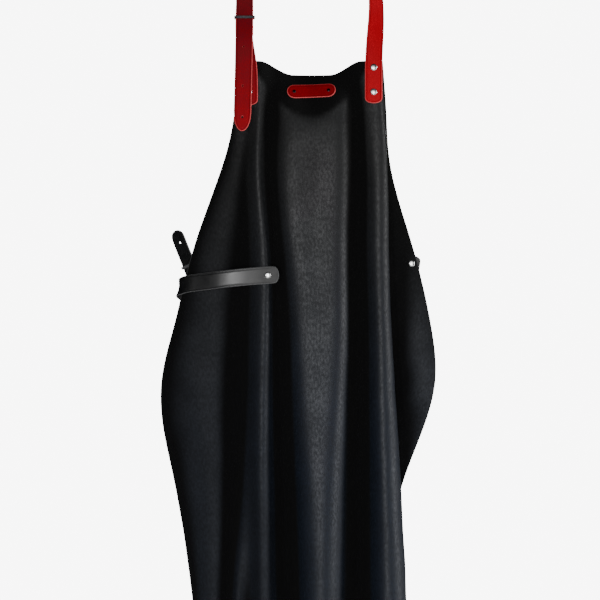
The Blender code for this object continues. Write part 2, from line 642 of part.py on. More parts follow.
def make_neck(red, silver, dark):
    panel = bpy.data.objects["apron_panel"]
    strap_y = bib_strap_y(RIGHT_STRAP_X)
    reach = SADDLE_LEAVE - SWING_ROOM / saddle_radius()
    over = [(saddle_point(a), Vector((0, 1, 0))) for a in np.linspace(-reach, reach, 9)]
    strap("neck_strap_saddle", over, red, spacing=0.0016, pivot=(HOOK_X, SADDLE_Y, -ARM_BELOW))

    back = Vector((0, 1, 0))

    def down(x, forward, share):
        """A place `share` of the way down to the bib and `forward` of the way out to its front."""
        return x, SADDLE_Y + (strap_y - SADDLE_Y) * forward, -ARM_BELOW - BIB_DROP * share

    right = [(saddle_point(SADDLE_LEAVE), back),
             (down(HOOK_X + 0.0185, 0, 0.075), back),
             (down(0.0320, 0.1, 0.2125), Vector((0.25, 1, 0))),
             (down(0.0670, 0.4, 0.4625), Vector((0.7, 1, 0))),
             (down(0.0870, 0.7, 0.6625), Vector((1, 0.9, 0))),
             (down(0.0935, 0.9, 0.8175), Vector((1, 0.55, 0))),
             (down(0.0915, 1, 0.925), Vector((1, 0.15, 0))),
             (down(0.0900, 1, 1), ACROSS),
             (at_drop(RIGHT_STRAP_X, strap_y, 0.03), ACROSS),
             (at_drop(RIGHT_STRAP_X, strap_y, STRAP_END_DROP), ACROSS)]
    right_strap = strap("neck_strap_right", right, red, end_round=0.006)

    left_y = bib_strap_y(LEFT_STRAP_X)
    bar = at_drop(NECK_BUCKLE_BAR[0], left_y + STRAP_THICK / 2 + TOUCH / 2, -NECK_BUCKLE_BAR[1])
    frame = Matrix.Translation(bar)
    make_buckle("neck", frame, silver)

    fold = folded_end(frame, 0.084, 0.030)
    up = [(at_drop(LEFT_STRAP_X, left_y, STRAP_END_DROP + 0.0025), ACROSS),
          (at_drop(LEFT_STRAP_X, left_y, 0.03), ACROSS),
          (at_drop(LEFT_STRAP_X - 0.0020, left_y, 0), ACROSS)]
    buckle_strap = strap("neck_buckle_strap", up + fold, red, start_round=0.006, end_round=0.006)
    slot = TONGUE_RADIUS + 2 * TOUCH
    cut(buckle_strap, slot_cutter(frame, 2 * slot, -0.0065, 0.0065), "neck_bar_slot")

    keeper_z = BIB_Z + NECK_KEEPER_RISE
    turn_z = keeper_z - KEEPER_HEIGHT / 2 - 0.002
    thread = threaded(frame, BUCKLE_WINDOW + 0.012, bar.z - turn_z - 0.001, 0.0018)
    top = [(saddle_point(-SADDLE_LEAVE), -back),
           (down(HOOK_X - 0.0175, 0, 0.075), -back),
           (down(-0.0450, 0.1, 0.2125), Vector((0.35, -1, 0))),
           (down(-0.0700, 0.3, 0.40), Vector((1, -0.8, 0))),
           (down(-0.0890, 0.4, 0.55), Vector((1, -0.2, 0)))]
    left_strap = strap("neck_strap_left", top + thread, red)
    cut(left_strap, slot_cutter(frame, 2 * slot, 0.0055, 0.0180), "neck_strap_hole")

    hang_y = thread[-1][0].y
    low_y = left_y - STRAP_THICK - RIVET_CAP_HEIGHT - 5 * TOUCH
    tail = [((bar.x + 0.0003, hang_y, turn_z - 0.0010), ACROSS),
            (at_drop(bar.x - 0.0006, min(hang_y, low_y), -0.030), ACROSS),
            (at_drop(-0.0962, low_y, 0), ACROSS),
            (at_drop(-0.0975, low_y, 0.0550), ACROSS),
            (at_drop(-0.0987, low_y, 0.1015), ACROSS)]
    strap("neck_strap_tail", tail, red, end_round=0.026, pivot=tail[0][0])

    keeper_frame = Matrix.Translation((bar.x, bar.y, keeper_z))
    back_face = STRAP_THICK + TOUCH / 2
    front_face = bar.y - hang_y + STRAP_THICK / 2
    keeper("neck_keeper", keeper_frame, (back_face - front_face) / 2, back_face + front_face + TOUCH, dark)

    for number, drop in enumerate(NECK_RIVET_DROPS, 1):
        z = BIB_Z - drop
        hide_rivet(f"neck_rivet_right_{number}", RIGHT_STRAP_X, z, strap_y, silver, (right_strap, panel))
        hide_rivet(f"neck_rivet_left_{number}", LEFT_STRAP_X, z, left_y, silver, (buckle_strap, panel))
    rivet("neck_fold_rivet", Vector((bar.x + 0.0003, bar.y, bar.z - 0.074)), FRONT,
          2 * STRAP_THICK + TOUCH, silver, (buckle_strap,), cap=FOLD_CAP_RADIUS)


def make_label(red, dark):
    panel = bpy.data.objects["apron_panel"]
    x, drop = LABEL_PLACE
    length, height, thick = LABEL_SIZE
    lift = HIDE_THICK / 2 + 3 * TOUCH + thick / 2
    route = []
    for share in (-0.5, -0.25, 0, 0.25, 0.5):
        along = share * length
        place, outward = on_hide(x + along, drop - along * math.tan(LABEL_TILT), 0.15, 0.85)
        below = Vector((0, -outward.z, outward.y)).normalized()
        route.append((place + outward * lift, below if below.z < 0 else -below))
    label = strap("label_patch", route, red, start_round=height / 2, end_round=height / 2, width=height,
                  thick=thick, spacing=0.006)
    for side, name in ((-1, "left"), (1, "right")):
        along = side * LABEL_RIVET_X
        place, outward = on_hide(x + along, drop - along * math.tan(LABEL_TILT), 0.15, 0.85)
        stack = lift + thick / 2 + HIDE_THICK / 2
        centre = place + outward * (stack / 2 - HIDE_THICK / 2 + 0.0001)
        rivet(f"label_rivet_{name}", centre, outward, stack + 0.0004, dark, (label, panel), cap=LABEL_CAP_RADIUS)


def twisted(way, share):
    """The way the waist tail's width lies as it climbs along `way` and turns its face to the left."""
    turn = WAIST_TAIL_TWIST * share
    return FRONT.cross(way) * -math.cos(turn) + FRONT * math.sin(turn)


def make_waist(black, silver, dark):
    panel = bpy.data.objects["apron_panel"]
    slope = WAIST_BUCKLE_SLOPE
    down = Vector((math.cos(slope), 0, -math.sin(slope)))
    side = Vector((math.sin(slope), 0, math.cos(slope)))
    frame = Matrix((side, FRONT, down)).transposed().to_4x4()
    frame.translation = at_drop(*WAIST_BUCKLE_BAR)
    make_buckle("waist", frame, dark)

    x, drop = WAIST_RIVET
    z = BIB_Z - drop
    rise = Vector((0.06, 0, 1))
    flat = []
    for across, low in ((x + 0.0158, 0.0008), (x, 0), (x - 0.0145, -0.0010), (-0.100, -0.0030),
                        (-0.135, -0.0068), (-0.165, -0.0105)):
        front, _ = hide_span([(across, z + low)], 0.0145, STRAP_WIDTH / 2)
        taut = STRAP_TAUT[0] + STRAP_TAUT[1] * max(0, x - across) ** 2
        flat.append(((across, min(front - 4 * TOUCH - STRAP_THICK / 2, taut), z + low), rise))
    edge = at_drop(*WAIST_EDGE)
    flat += [((edge.x + 0.0080, edge.y - 0.0085, z - 0.0135), Vector((0.1, 0, 1))),
             (edge, Vector((0.15, 0, 1))),
             ((edge.x + 0.0075, edge.y + 0.0105, z - 0.0260), Vector((0.45, 0, 1))),
             ((edge.x + 0.0265, edge.y + 0.0200, z - 0.0420), Vector((0.65, 0, 0.78)))]
    fold = folded_end(frame, 0.034, 0.022)
    front_strap = strap("waist_strap_front", flat + fold, black, start_round=0.008, end_round=0.006)
    slot = TONGUE_RADIUS + 2 * TOUCH
    cut(front_strap, slot_cutter(frame, 2 * slot, -0.0065, 0.0065), "waist_bar_slot")
    hide_rivet("waist_rivet", x, z, flat[1][0][1], silver, (front_strap, panel))
    rivet("waist_fold_rivet", frame @ Vector((0, 0, -0.028)), frame.to_3x3() @ FRONT,
          2 * STRAP_THICK + 2 * TOUCH, dark, (front_strap,), cap=FOLD_CAP_RADIUS)

    thread = threaded(frame, 0.040, 0.030, -0.0004)[::-1]
    billet_end = strap("waist_billet_end", thread, black)
    cut(billet_end, slot_cutter(frame, 2 * slot, 0.0055, 0.0180), "waist_strap_hole")

    start = thread[0][0]
    level = start.y
    loop_way = Vector((-0.37, 0, 0.93)).normalized()
    loop_across = twisted(loop_way, 1)
    tail = [(start - down * SWING_ROOM, side), (at_drop(-0.1600, level, 0.330), twisted(loop_way, 0.45)),
            (at_drop(-0.1707, level, 0.3105), loop_across),
            (at_drop(-0.1785, level, 0.291), loop_across),
            (at_drop(-0.1885, level, 0.266), loop_across),
            (at_drop(-0.1980, level, 0.241), loop_across)]
    strap("waist_tail", tail, black, end_round=0.012, pivot=tail[0][0])
    loop = Matrix((loop_across, loop_way.cross(loop_across), loop_way)).transposed().to_4x4()
    loop.translation = at_drop(-0.1780, level, 0.2922)
    keeper("waist_keeper", loop, 0, STRAP_THICK + TOUCH, black)

    near = thread[-1][0]
    swing = near + down * SWING_ROOM
    tab_x, tab_drop = BILLET_RIVET
    tab_z = BIB_Z - tab_drop
    rear = hide_span([(tab_x, tab_z)], 0.006, STRAP_WIDTH / 2)[1]
    tab_y = rear + 3 * TOUCH + STRAP_THICK / 2
    upright = Vector((1, 0, 0.15))
    tab = [((tab_x + 0.002, tab_y, tab_z + 0.012), upright), ((tab_x, tab_y, tab_z), upright),
           ((tab_x - 0.003, tab_y, tab_z - 0.020), upright)]
    tab_strap = strap("waist_billet_tab", tab, black, start_round=0.007)
    back_rivet(tab_x, tab_z, tab_y, silver, (tab_strap, panel))
    last = Vector(tab[-1][0])
    far = last + (last - Vector(tab[-2][0])).normalized() * SWING_ROOM
    hang = [(swing, side), (at_drop(-0.0700, near.y + 0.002, 0.450), Vector((0.85, 0, 0.60))),
            (at_drop(-0.0200, near.y + 0.003, 0.493), Vector((0.50, 0, 0.90))),
            (at_drop(0.0400, near.y, 0.497), Vector((0.05, 0, 1))),
            (at_drop(0.0950, near.y - 0.004, 0.455), Vector((-0.65, 0, 0.75))),
            (at_drop(0.1270, tab_y + 0.006, 0.390), Vector((-0.95, 0, 0.35))),
            (far, -upright)]
    strap("waist_billet", hang, black, pivot=(swing + far) / 2)


def back_rivet(x, z, strap_y, look, holes):
    """The rivet that holds the billet to the back of the hide."""
    rear = strap_y + STRAP_THICK / 2
    front = hide_span([(x, z)], RIVET_CAP_RADIUS, RIVET_CAP_RADIUS)[0]
    rivet("waist_billet_rivet", Vector((x, (front + rear) / 2, z)), FRONT, rear - front, look, holes)


def main():
    clear_scene()
    steel = material("hook steel", (0.42, 0.42, 0.43), 0.35, 1.0)
    black = material("black hide", (0.012, 0.013, 0.016), 0.45)
    red = material("red strap leather", (0.42, 0.012, 0.010), 0.40)
    silver = material("nickel", (0.75, 0.75, 0.76), 0.22, 1.0)
    dark = material("dark metal", (0.06, 0.06, 0.065), 0.35, 1.0)
    make_hook(steel)
    make_hang()
    make_panel(black)
    make_neck(red, silver, dark)
    make_label(red, dark)
    make_waist(black, silver, dark)


main()
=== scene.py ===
"""The looks of a leather work apron that hangs by its neck strap from a wall hook.

Metres, +Z up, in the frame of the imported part: the wall is the plane y = 0 and the apron's front faces
-Y. The hide, the straps and the fittings are fine meshes, laid by the same folds, routes and clearances
as the part's own solids. They are worked out in the apron's own x, which HANG carries across to the
place where its weight hangs straight below the hook. A place on the hide is given as that x and its
`drop` below the bib's top.
"""

import json
import math

import bmesh
import bpy
import numpy as np
from mathutils import Matrix, Vector, noise
from mathutils.bvhtree import BVHTree

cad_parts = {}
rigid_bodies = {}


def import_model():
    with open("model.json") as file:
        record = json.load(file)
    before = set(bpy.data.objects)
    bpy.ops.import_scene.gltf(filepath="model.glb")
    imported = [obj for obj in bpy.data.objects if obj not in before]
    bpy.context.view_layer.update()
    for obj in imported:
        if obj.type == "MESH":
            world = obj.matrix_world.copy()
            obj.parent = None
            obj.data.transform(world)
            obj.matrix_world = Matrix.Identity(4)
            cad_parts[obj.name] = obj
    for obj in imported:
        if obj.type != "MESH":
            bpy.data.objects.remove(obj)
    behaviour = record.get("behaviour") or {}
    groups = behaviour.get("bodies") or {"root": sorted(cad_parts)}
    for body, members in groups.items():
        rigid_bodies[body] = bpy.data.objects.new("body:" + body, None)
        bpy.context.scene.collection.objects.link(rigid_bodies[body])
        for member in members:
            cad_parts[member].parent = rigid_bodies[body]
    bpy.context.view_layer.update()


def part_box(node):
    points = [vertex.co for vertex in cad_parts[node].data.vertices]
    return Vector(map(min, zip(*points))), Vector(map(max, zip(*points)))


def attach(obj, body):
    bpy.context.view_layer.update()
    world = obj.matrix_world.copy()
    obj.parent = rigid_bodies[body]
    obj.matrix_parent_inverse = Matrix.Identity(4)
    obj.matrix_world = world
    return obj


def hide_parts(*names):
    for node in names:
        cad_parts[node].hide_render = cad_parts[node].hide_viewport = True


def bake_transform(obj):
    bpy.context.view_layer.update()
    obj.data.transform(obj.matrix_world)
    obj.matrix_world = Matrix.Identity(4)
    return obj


# Clearances
TOUCH = 0.0003

# Wall hook
ARM_RADIUS = 0.006
ARM_BELOW = 0.015
ARM_REACH = 0.110
ARM_RISE = 0.030
ARM_BEND = 0.018

# Straps and fittings
STRAP_WIDTH = 0.025
STRAP_THICK = 0.0024
SADDLE_Y = -0.077
SADDLE_LEAVE = math.radians(70)
RIVET_CAP_RADIUS = 0.0047
FOLD_CAP_RADIUS = 0.0032
LABEL_CAP_RADIUS = 0.0026
BUCKLE_WIRE = 0.0018
BUCKLE_WINDOW = 0.024
BUCKLE_CORNER = 0.0045
BUCKLE_ROOM = 0.0012
TONGUE_RADIUS = 0.0012
KEEPER_WALL = 0.0011
KEEPER_HEIGHT = 0.004
KEEPER_ROOM = 0.0014
KEEPER_CORNER = 0.0014
PUNCH_RADIUS = 0.0016
TONGUE_HOLE = Vector((0, -0.0005, 0.0115))
TONGUE_SLOT = 0.008
BAR_SLOT = 0.010
NECK_HOLE_DROPS = (-0.019, 0.037, 0.0815)
WAIST_HOLE = (-0.1911, 0.2592)
WAIST_HOLE_RADIUS = 0.0020

# How far each kind of strap end rounds off
RIVETED_ROUND = 0.007
BELT_ROUND = 0.008
FOLDED_ROUND = 0.006
NECK_TIP_ROUND = 0.026
WAIST_TIP_ROUND = 0.012

# Cut edges of the straps
EDGE_ROUND = 0.0011
CREASE_INSET = 0.0026
CREASE_HALF = 0.0004
CREASE_DEPTH = 0.00022
RIM_STEPS = (0, 0.00015, 0.0004, 0.0008, 0.0013, 0.0019, 0.0023, 0.0026, 0.0029, 0.0034, 0.0052, 0.0085)
RING_SPACING = 0.004
TURN_STEP = 0.12

# Apron hide
HIDE_THICK = 0.0015
BIB_DROP = 0.400
HOOK_X = -0.010
APRON_Y = -0.084
APRON_HEIGHT = 0.860
NECK_DIP = 0.019
NECK_FLAT = 0.12
NECK_SHOULDER = 0.35
HEM_CORNER = 0.040
COWL_LEAN = math.tan(math.radians(14))
COWL_DEEP = 0.060
COWL_HALF = 0.058
COWL_TOP = 0.025
COWL_ROUND = 0.006
HIDE_COLUMNS = 240
HIDE_ROWS = 176
EDGE_SHARE = 0.004

# Painted shade and dullness on the hide: darker and duller above a curved line under the label, in its
# valleys and on its left
SHADE_DEEP = 0.083
SHADE_RISE = 0.044
SHADE_HALF = 0.063
SHADE_SOFT = 0.010
SHADE_DARK = 0.95
CREST_REACH = 0.095
CREST_LOW = -0.0030
CREST_HIGH = 0.0030
SIDE_DULL_AND_SHADE = 0.62
SIDE_SPAN = (-0.13, -0.09)

# Half of the cut hide's width at each drop: bib, armhole, then straight sides.
CUT_DROPS = [0.000, 0.075, 0.145, 0.257, 0.372, 0.465, 0.605, APRON_HEIGHT]
CUT_HALVES = [0.106, 0.118, 0.144, 0.194, 0.240, 0.272, 0.275, 0.275]

# For each drop, the turning points of the hanging hide's section as (x, forward) in millimetres.
FOLDS = [
    [(-107, -1), (-98, 0), (-90, 0), (-85, 0), (-81, 0), (-77, 0), (-70, 0), (-58, -2), (-42, -2), (3, -3),
     (50, -3), (62, -3), (77, 0), (95, 0), (97, -1), (99, -2), (101, -3), (103, -4)],
    [(-110, -2), (-101, 0), (-93, 0), (-87, 0), (-83, 0), (-80, 1), (-74, 3), (-60, -4), (-43, 3), (4, 8),
     (49, 4), (65, -5), (82, 2), (103, 1), (105, -3), (106, -6), (107, -8), (108, -10)],
    [(-126, -14), (-114, -6), (-102, -4), (-96, -5), (-90, -3), (-85, 2), (-77, 8), (-60, -5), (-46, 8),
     (3, 14), (49, 9), (70, -8), (93, 8), (108, 1), (107, -7), (106, -12), (109, -14), (114, -15)],
    [(-166, -22), (-142, -12), (-112, -9), (-96, -10), (-88, -5), (-80, 5), (-68, 12), (-53, -9), (-37, 12),
     (6, 18), (45, 12), (70, -15), (97, 11), (111, 0), (108, -15), (106, -22), (122, -25), (145, -26)],
    [(-196, -28), (-157, -15), (-118, -12), (-101, -14), (-90, -6), (-80, 7), (-67, 15), (-47, -13),
     (-25, 13), (12, 20), (45, 14), (72, -19), (100, 13), (114, 0), (108, -19), (105, -27), (132, -29),
     (173, -30)],
    [(-217, -28), (-171, -14), (-122, -12), (-103, -16), (-92, -6), (-83, 7), (-70, 17), (-44, -15),
     (-21, 14), (12, 22), (42, 15), (72, -21), (101, 14), (119, 0), (110, -23), (106, -31), (136, -31),
     (180, -28)],
    [(-198, -30), (-161, -15), (-125, -14), (-112, -19), (-96, -1), (-86, 8), (-71, 20), (-39, -19),
     (-14, 15), (13, 25), (38, 16), (72, -25), (103, 16), (128, 0), (115, -27), (106, -37), (118, -39),
     (136, -38)],
    [(-165, -34), (-150, -20), (-136, -18), (-126, -21), (-112, 9), (-97, -2), (-72, 24), (-32, -23),
     (-4, 17), (13, 27), (34, 17), (72, -29), (107, 18), (139, 0), (122, -33), (108, -43), (112, -47),
     (118, -46)],
]

# Places on the apron: x across, then drop below the bib's top
RIGHT_STRAP_X = 0.0897
LEFT_STRAP_X = -0.0888
STRAP_END_DROP = 0.0615
NECK_RIVET_DROPS = (0.010, 0.045)
LABEL_PLACE = (0.0007, 0.0436)
LABEL_SIZE = (0.070, 0.021, 0.0016)
LABEL_RIVET_X = 0.025
LABEL_TILT = math.radians(2)
WAIST_RIVET = (-0.0615, 0.3075)
BILLET_RIVET = (0.146, 0.290)
NECK_BUCKLE_BAR = (-0.0950, 0.1150)
NECK_KEEPER_RISE = 0.0615
WAIST_BUCKLE_BAR = (-0.118, -0.036, 0.385)
WAIST_BUCKLE_SLOPE = math.radians(52)
WAIST_EDGE = (-0.1900, -0.064, 0.3255)
STRAP_TAUT = (-0.098, 1.77)
WAIST_TAIL_TWIST = math.radians(38)

BIB_Z = -ARM_BELOW - BIB_DROP
HANG = Vector((-HOOK_X, 0, 0))
ACROSS = Vector((1, 0, 0))
FRONT = Vector((0, -1, 0))
BACK = Vector((0, 1, 0))


# ---------------------------------------------------------------- shaders


class Value:
    """A value or colour in a shader. Arithmetic on it adds Math nodes."""

    def __init__(self, look, socket):
        self.look = look
        self.socket = socket

    def maths(self, operation, first, second=0.0):
        return self.look.node("Math", {0: first, 1: second}, operation=operation)

    def __add__(self, other):
        return self.maths("ADD", self, other)

    def __radd__(self, other):
        return self.maths("ADD", other, self)

    def __sub__(self, other):
        return self.maths("SUBTRACT", self, other)

    def __rsub__(self, other):
        return self.maths("SUBTRACT", other, self)

    def __mul__(self, other):
        return self.maths("MULTIPLY", self, other)

    def __rmul__(self, other):
        return self.maths("MULTIPLY", other, self)

    def step(self, low, high, start=0.0, end=1.0):
        """Smoothly from `start` to `end` as this value goes from `low` to `high`."""
        sizes = {"Value": self, "From Min": low, "From Max": high, "To Min": start, "To Max": end}
        return self.look.node("MapRange", sizes, interpolation_type="SMOOTHSTEP")


class Look:
    """A material, and the nodes that vary it."""

    def __init__(self, name, colour, roughness, metallic=0.0, **fixed):
        self.material = bpy.data.materials.new(name)
        self.material.use_nodes = True
        self.tree = self.material.node_tree
        self.shader = self.tree.nodes["Principled BSDF"]
        self.set("Base Color", (*colour, 1))
        self.set("Roughness", roughness)
        self.set("Metallic", metallic)
        for socket, value in fixed.items():
            self.set(socket.replace("_", " "), value)

    def set(self, socket, value):
        self.feed(self.shader.inputs[socket], value)

    def feed(self, socket, value):
        if isinstance(value, Value):
            self.tree.links.new(value.socket, socket)
        else:
            socket.default_value = value

    def node(self, kind, inputs=None, output=0, stops=None, **settings):
        """Any shader node: its settings first, then what its sockets hold."""
        made = self.tree.nodes.new("ShaderNode" + kind)
        for name, value in settings.items():
            setattr(made, name, value)
        if stops:
            for element, (place, colour) in zip(made.color_ramp.elements, stops):
                element.position = place
                element.color = (*colour, 1)
        for name, value in (inputs or {}).items():
            self.feed(made.inputs[name], value)
        return Value(self, made.outputs[output])

    def objects(self):
        return self.node("TexCoord", output="Object")

    def pattern(self):
        return self.node("UVMap", uv_map="UVMap")

    def attribute(self, name):
        return self.node("Attribute", output="Fac", attribute_name=name)

    def stretched(self, vector, scale):
        return self.node("VectorMath", {0: vector, 1: scale}, operation="MULTIPLY")

    def noise(self, vector, scale, detail=2.0, roughness=0.5):
        sizes = {"Vector": vector, "Scale": scale, "Detail": detail, "Roughness": roughness}
        return self.node("TexNoise", sizes, output="Fac")

    def cells(self, vector, scale):
        return self.node("TexVoronoi", {"Vector": vector, "Scale": scale}, output="Distance")

    def mix(self, share, first, second):
        """A colour between two: `share` 0 gives the first."""
        colours = [(*c, 1) if isinstance(c, tuple) else c for c in (first, second)]
        inputs = {0: share, 6: colours[0], 7: colours[1]}
        return self.node("Mix", inputs, output=2, data_type="RGBA")

    def bump(self, height, distance, below=None):
        inputs = {"Height": height, "Distance": distance, "Strength": 1.0}
        if below:
            inputs["Normal"] = below
        return self.node("Bump", inputs)


def leather_grain(look, place, pore, depth, ripple):
    """Pores over a slow unevenness, as a normal, in metres of depth."""
    slow = look.bump(look.noise(place, 24.0, 2.0), ripple)
    warp = look.noise(place, pore * 0.35, 3.0, 0.6)
    pits = look.cells(place, pore) * 0.7 + warp * 0.9
    return look.bump(pits, depth, slow)


def make_hide_look():
    """Black hide: satin where its folds stand out and dull between them, its colour darkened by painted
    shade in the valleys and lifted by a painted highlight on the ridges, with suede behind.
    """
    look = Look("satin black hide", (0.004, 0.0042, 0.005), 0.45, IOR=1.5, Specular_IOR_Level=0.14)
    place = look.pattern()
    behind = look.attribute("behind").step(0.4, 0.6)
    rim = look.attribute("rim")
    crest = look.attribute("crest")
    drop = look.node("SeparateXYZ", {0: place}, output="Y")
    mottle = look.noise(look.stretched(place, (1.0, 0.5, 1.0)), 330.0, 3.0, 0.65)
    cloud = look.noise(place, 16.0, 3.0, 0.55)
    tone = (mottle * 0.7 + cloud * 0.3).step(0.36, 0.66)
    # Painted shade and highlight: the colour falls to near black in the valleys, above the bib's curved line
    # and on the left, and rises on the ridges, with random tone.
    painted_fold_shade_and_tone = crest * (tone * 0.5 + 0.5)
    high = look.mix(painted_fold_shade_and_tone, (0.0002, 0.0002, 0.0002), (0.0100, 0.0102, 0.0106))
    low = look.mix(painted_fold_shade_and_tone, (0.0002, 0.0002, 0.0004), (0.0066, 0.0088, 0.0140))
    grain = look.mix(drop.step(0.10, 0.60), high, low)
    suede = look.mix(mottle.step(0.3, 0.75), (0.030, 0.028, 0.027), (0.060, 0.056, 0.053))
    skin = look.mix(behind, grain, suede)
    look.set("Base Color", look.mix(rim.step(0.0003, 0.0011, 1.0, 0.0), skin, (0.024, 0.024, 0.025)))
    rough = 1.0 - crest * (0.40 + tone * 0.18)
    look.set("Roughness", behind * (0.95 - rough) + rough)
    look.set("Normal", leather_grain(look, place, 620.0, 0.00013, 0.0010))
    return look.material


def make_strap_look(name, dark, light, raw, rough, gloss, bump, shade=None, dull=None):
    """Smooth strap leather with painted shade along its creased line and a burnished cut edge. `shade` gives
    the colour's place between dark and light across the object, as painted shade, and `dull` what its
    roughness gains."""
    look = Look(name, light, rough, IOR=1.5, Specular_IOR_Level=gloss)
    place = look.pattern()
    rim = look.attribute("rim")
    cloud = look.noise(place, 60.0, 3.0, 0.6)
    fibre = look.noise(look.stretched(place, (0.35, 1.0, 1.0)), 900.0, 2.0)
    tone = cloud.step(0.3, 0.7)
    # Painted shade: the given function sets most of the colour's place between dark and light.
    if shade:
        tone = shade(look) * 0.92 + tone * 0.08
    face = look.mix(tone, dark, light)
    # Painted shade: the colour darkens along the creased line.
    painted_crease_shade = rim.step(CREASE_INSET - 2 * CREASE_HALF, CREASE_INSET)
    painted_crease_shade = painted_crease_shade * rim.step(CREASE_INSET, CREASE_INSET + 2 * CREASE_HALF, 1.0, 0.0)
    face = look.mix(painted_crease_shade * 0.5, face, tuple(c * 0.4 for c in dark))
    look.set("Base Color", look.mix(rim.step(0.0003, 0.0012, 1.0, 0.0), face, raw))
    wear = fibre * 0.04 + cloud * 0.06 + (rough - 0.05) + rim.step(0.0, 0.0010, 0.14, 0.0)
    look.set("Roughness", wear + dull(look) if dull else wear)
    look.set("Normal", leather_grain(look, place, 1100.0, bump, 0.0004))
    return look.material


def red_shade(look):
    """Painted shade: the red is darker on the left and towards the top, and lighter on the right and down
    towards the bib.
    """
    place = look.node("SeparateXYZ", {0: look.objects()}, output="X")
    height = look.node("SeparateXYZ", {0: look.objects()}, output="Z")
    return place.step(0.03, 0.09, 0.0, 0.62) + height.step(-0.53, -0.34, 0.38, 0.0)


def belt_dull(look):
    """The belt is polished where it is handled, and duller from there to its rivet."""
    place = look.node("SeparateXYZ", {0: look.objects()}, output="X")
    return place.step(-0.105, -0.055, 0.0, 0.30)


def make_metal_look(name, dull, bright, rough, streak):
    """Metal with fine wear: cloudy tone, and streaks that roughen it."""
    look = Look(name, bright, rough, 1.0)
    place = look.objects()
    cloud = look.noise(place, 160.0, 3.0, 0.6)
    lines = look.noise(look.stretched(place, streak), 900.0, 2.0)
    look.set("Base Color", look.mix(cloud.step(0.25, 0.75), dull, bright))
    look.set("Roughness", cloud * 0.14 + lines * 0.12 + (rough - 0.13))
    look.set("Normal", look.bump(lines, 0.00002))
    return look.material


# ---------------------------------------------------------------- meshes


def finish(name, bm, look, nodes=(), shift=HANG, sharp=40):
    """Make the mesh a piece that stands for CAD nodes."""
    bmesh.ops.recalc_face_normals(bm, faces=bm.faces)
    bmesh.ops.translate(bm, verts=bm.verts, vec=shift)
    mesh = bpy.data.meshes.new(name)
    bm.to_mesh(mesh)
    bm.free()
    mesh.materials.append(look)
    obj = bpy.data.objects.new(name, mesh)
    bpy.context.scene.collection.objects.link(obj)
    smooth(obj, sharp)
    if nodes:
        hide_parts(*nodes)
    return obj


def smooth(obj, sharp):
    obj.data.shade_smooth()
    obj.data.set_sharp_from_angle(angle=math.radians(sharp))


def apply_modifiers(obj, sharp=40):
    """Turn the evaluated object into its own plain mesh."""
    made = bpy.data.meshes.new_from_object(obj.evaluated_get(bpy.context.evaluated_depsgraph_get()))
    made.name = obj.name
    obj.modifiers.clear()
    old = obj.data
    obj.data = made
    bpy.data.meshes.remove(old)
    smooth(obj, sharp)


def combine(obj, helper_mesh, operation):
    """Cut a helper mesh out of the piece, or join it on."""
    mesh = bpy.data.meshes.new("helper")
    bmesh.ops.recalc_face_normals(helper_mesh, faces=helper_mesh.faces)
    helper_mesh.to_mesh(mesh)
    helper_mesh.free()
    helper = bpy.data.objects.new("helper", mesh)
    bpy.context.scene.collection.objects.link(helper)
    change = obj.modifiers.new("change", "BOOLEAN")
    change.operation = operation
    change.solver = "EXACT"
    change.object = helper
    apply_modifiers(obj)
    bpy.data.objects.remove(helper)


def spline(knots, values, at):
    """A natural cubic spline through the rows of `values`, read at `at`."""
    knots = np.asarray(knots, float)
    values = np.asarray(values, float)
    at = np.asarray(at, float)
    gaps = np.diff(knots)
    slopes = np.diff(values, axis=0) / gaps.reshape(-1, *[1] * (values.ndim - 1))
    count = len(knots)
    system = np.eye(count)
    right = np.zeros_like(values)
    for i in range(1, count - 1):
        system[i, i - 1 : i + 2] = gaps[i - 1], 2 * (gaps[i - 1] + gaps[i]), gaps[i]
        right[i] = 6 * (slopes[i] - slopes[i - 1])
    bend = np.linalg.solve(system, right.reshape(count, -1)).reshape(values.shape)
    low = np.clip(np.searchsorted(knots, at, "right") - 1, 0, count - 2)
    shape = (-1, *[1] * (values.ndim - 1))
    span = gaps[low].reshape(shape)
    before = (knots[low + 1] - at).reshape(shape)
    after = (at - knots[low]).reshape(shape)
    curve = (bend[low] * before**3 + bend[low + 1] * after**3) / (6 * span)
    line = values[low] * before + values[low + 1] * after
    return curve + line / span - span * (bend[low] * before + bend[low + 1] * after) / 6


def lengths_along(points):
    return np.concatenate([[0], np.cumsum(np.linalg.norm(np.diff(points, axis=0), axis=1))])


def rows_at(at, knots, rows):
    """The rows of a table, read between its knots."""
    return np.stack([np.interp(at, knots, rows[:, k]) for k in range(rows.shape[1])], axis=1)


# ---------------------------------------------------------------- the draped hide


def cut_half(drops):
    return np.interp(drops, CUT_DROPS, CUT_HALVES)


def sections(drops, fractions):
    """(x, forward) of the hide at each drop and each fraction of its cut width.

    The folds deepen by whatever makes each section as long as the hide is wide there.
    """
    turns = spline(CUT_DROPS, np.array(FOLDS) * 0.001, drops)
    result = np.empty((len(drops), len(fractions), 2))
    for row, (turn, half) in enumerate(zip(turns, cut_half(drops))):
        knots = lengths_along(turn)
        fine = spline(knots, turn, np.linspace(0, knots[-1], 400))
        shallow, deep = 0.3, 3.0
        for _ in range(30):
            depth = (shallow + deep) / 2
            run = lengths_along(fine * (1, depth))
            if run[-1] < 2 * half:
                shallow = depth
            else:
                deep = depth
        at = np.asarray(fractions) * run[-1]
        result[row] = rows_at(at, run, fine * (1, depth))
    return result


def cowl_line(x):
    """The drop at which the bib turns back under its own weight."""
    return COWL_DEEP * (1 - (x / COWL_HALF) ** 2) + COWL_TOP


def cowl(x, drop):
    """How far the bib leans back above the curved line where it turns under its own weight."""
    return COWL_LEAN * COWL_ROUND * np.logaddexp(0, (cowl_line(x) - drop) / COWL_ROUND)


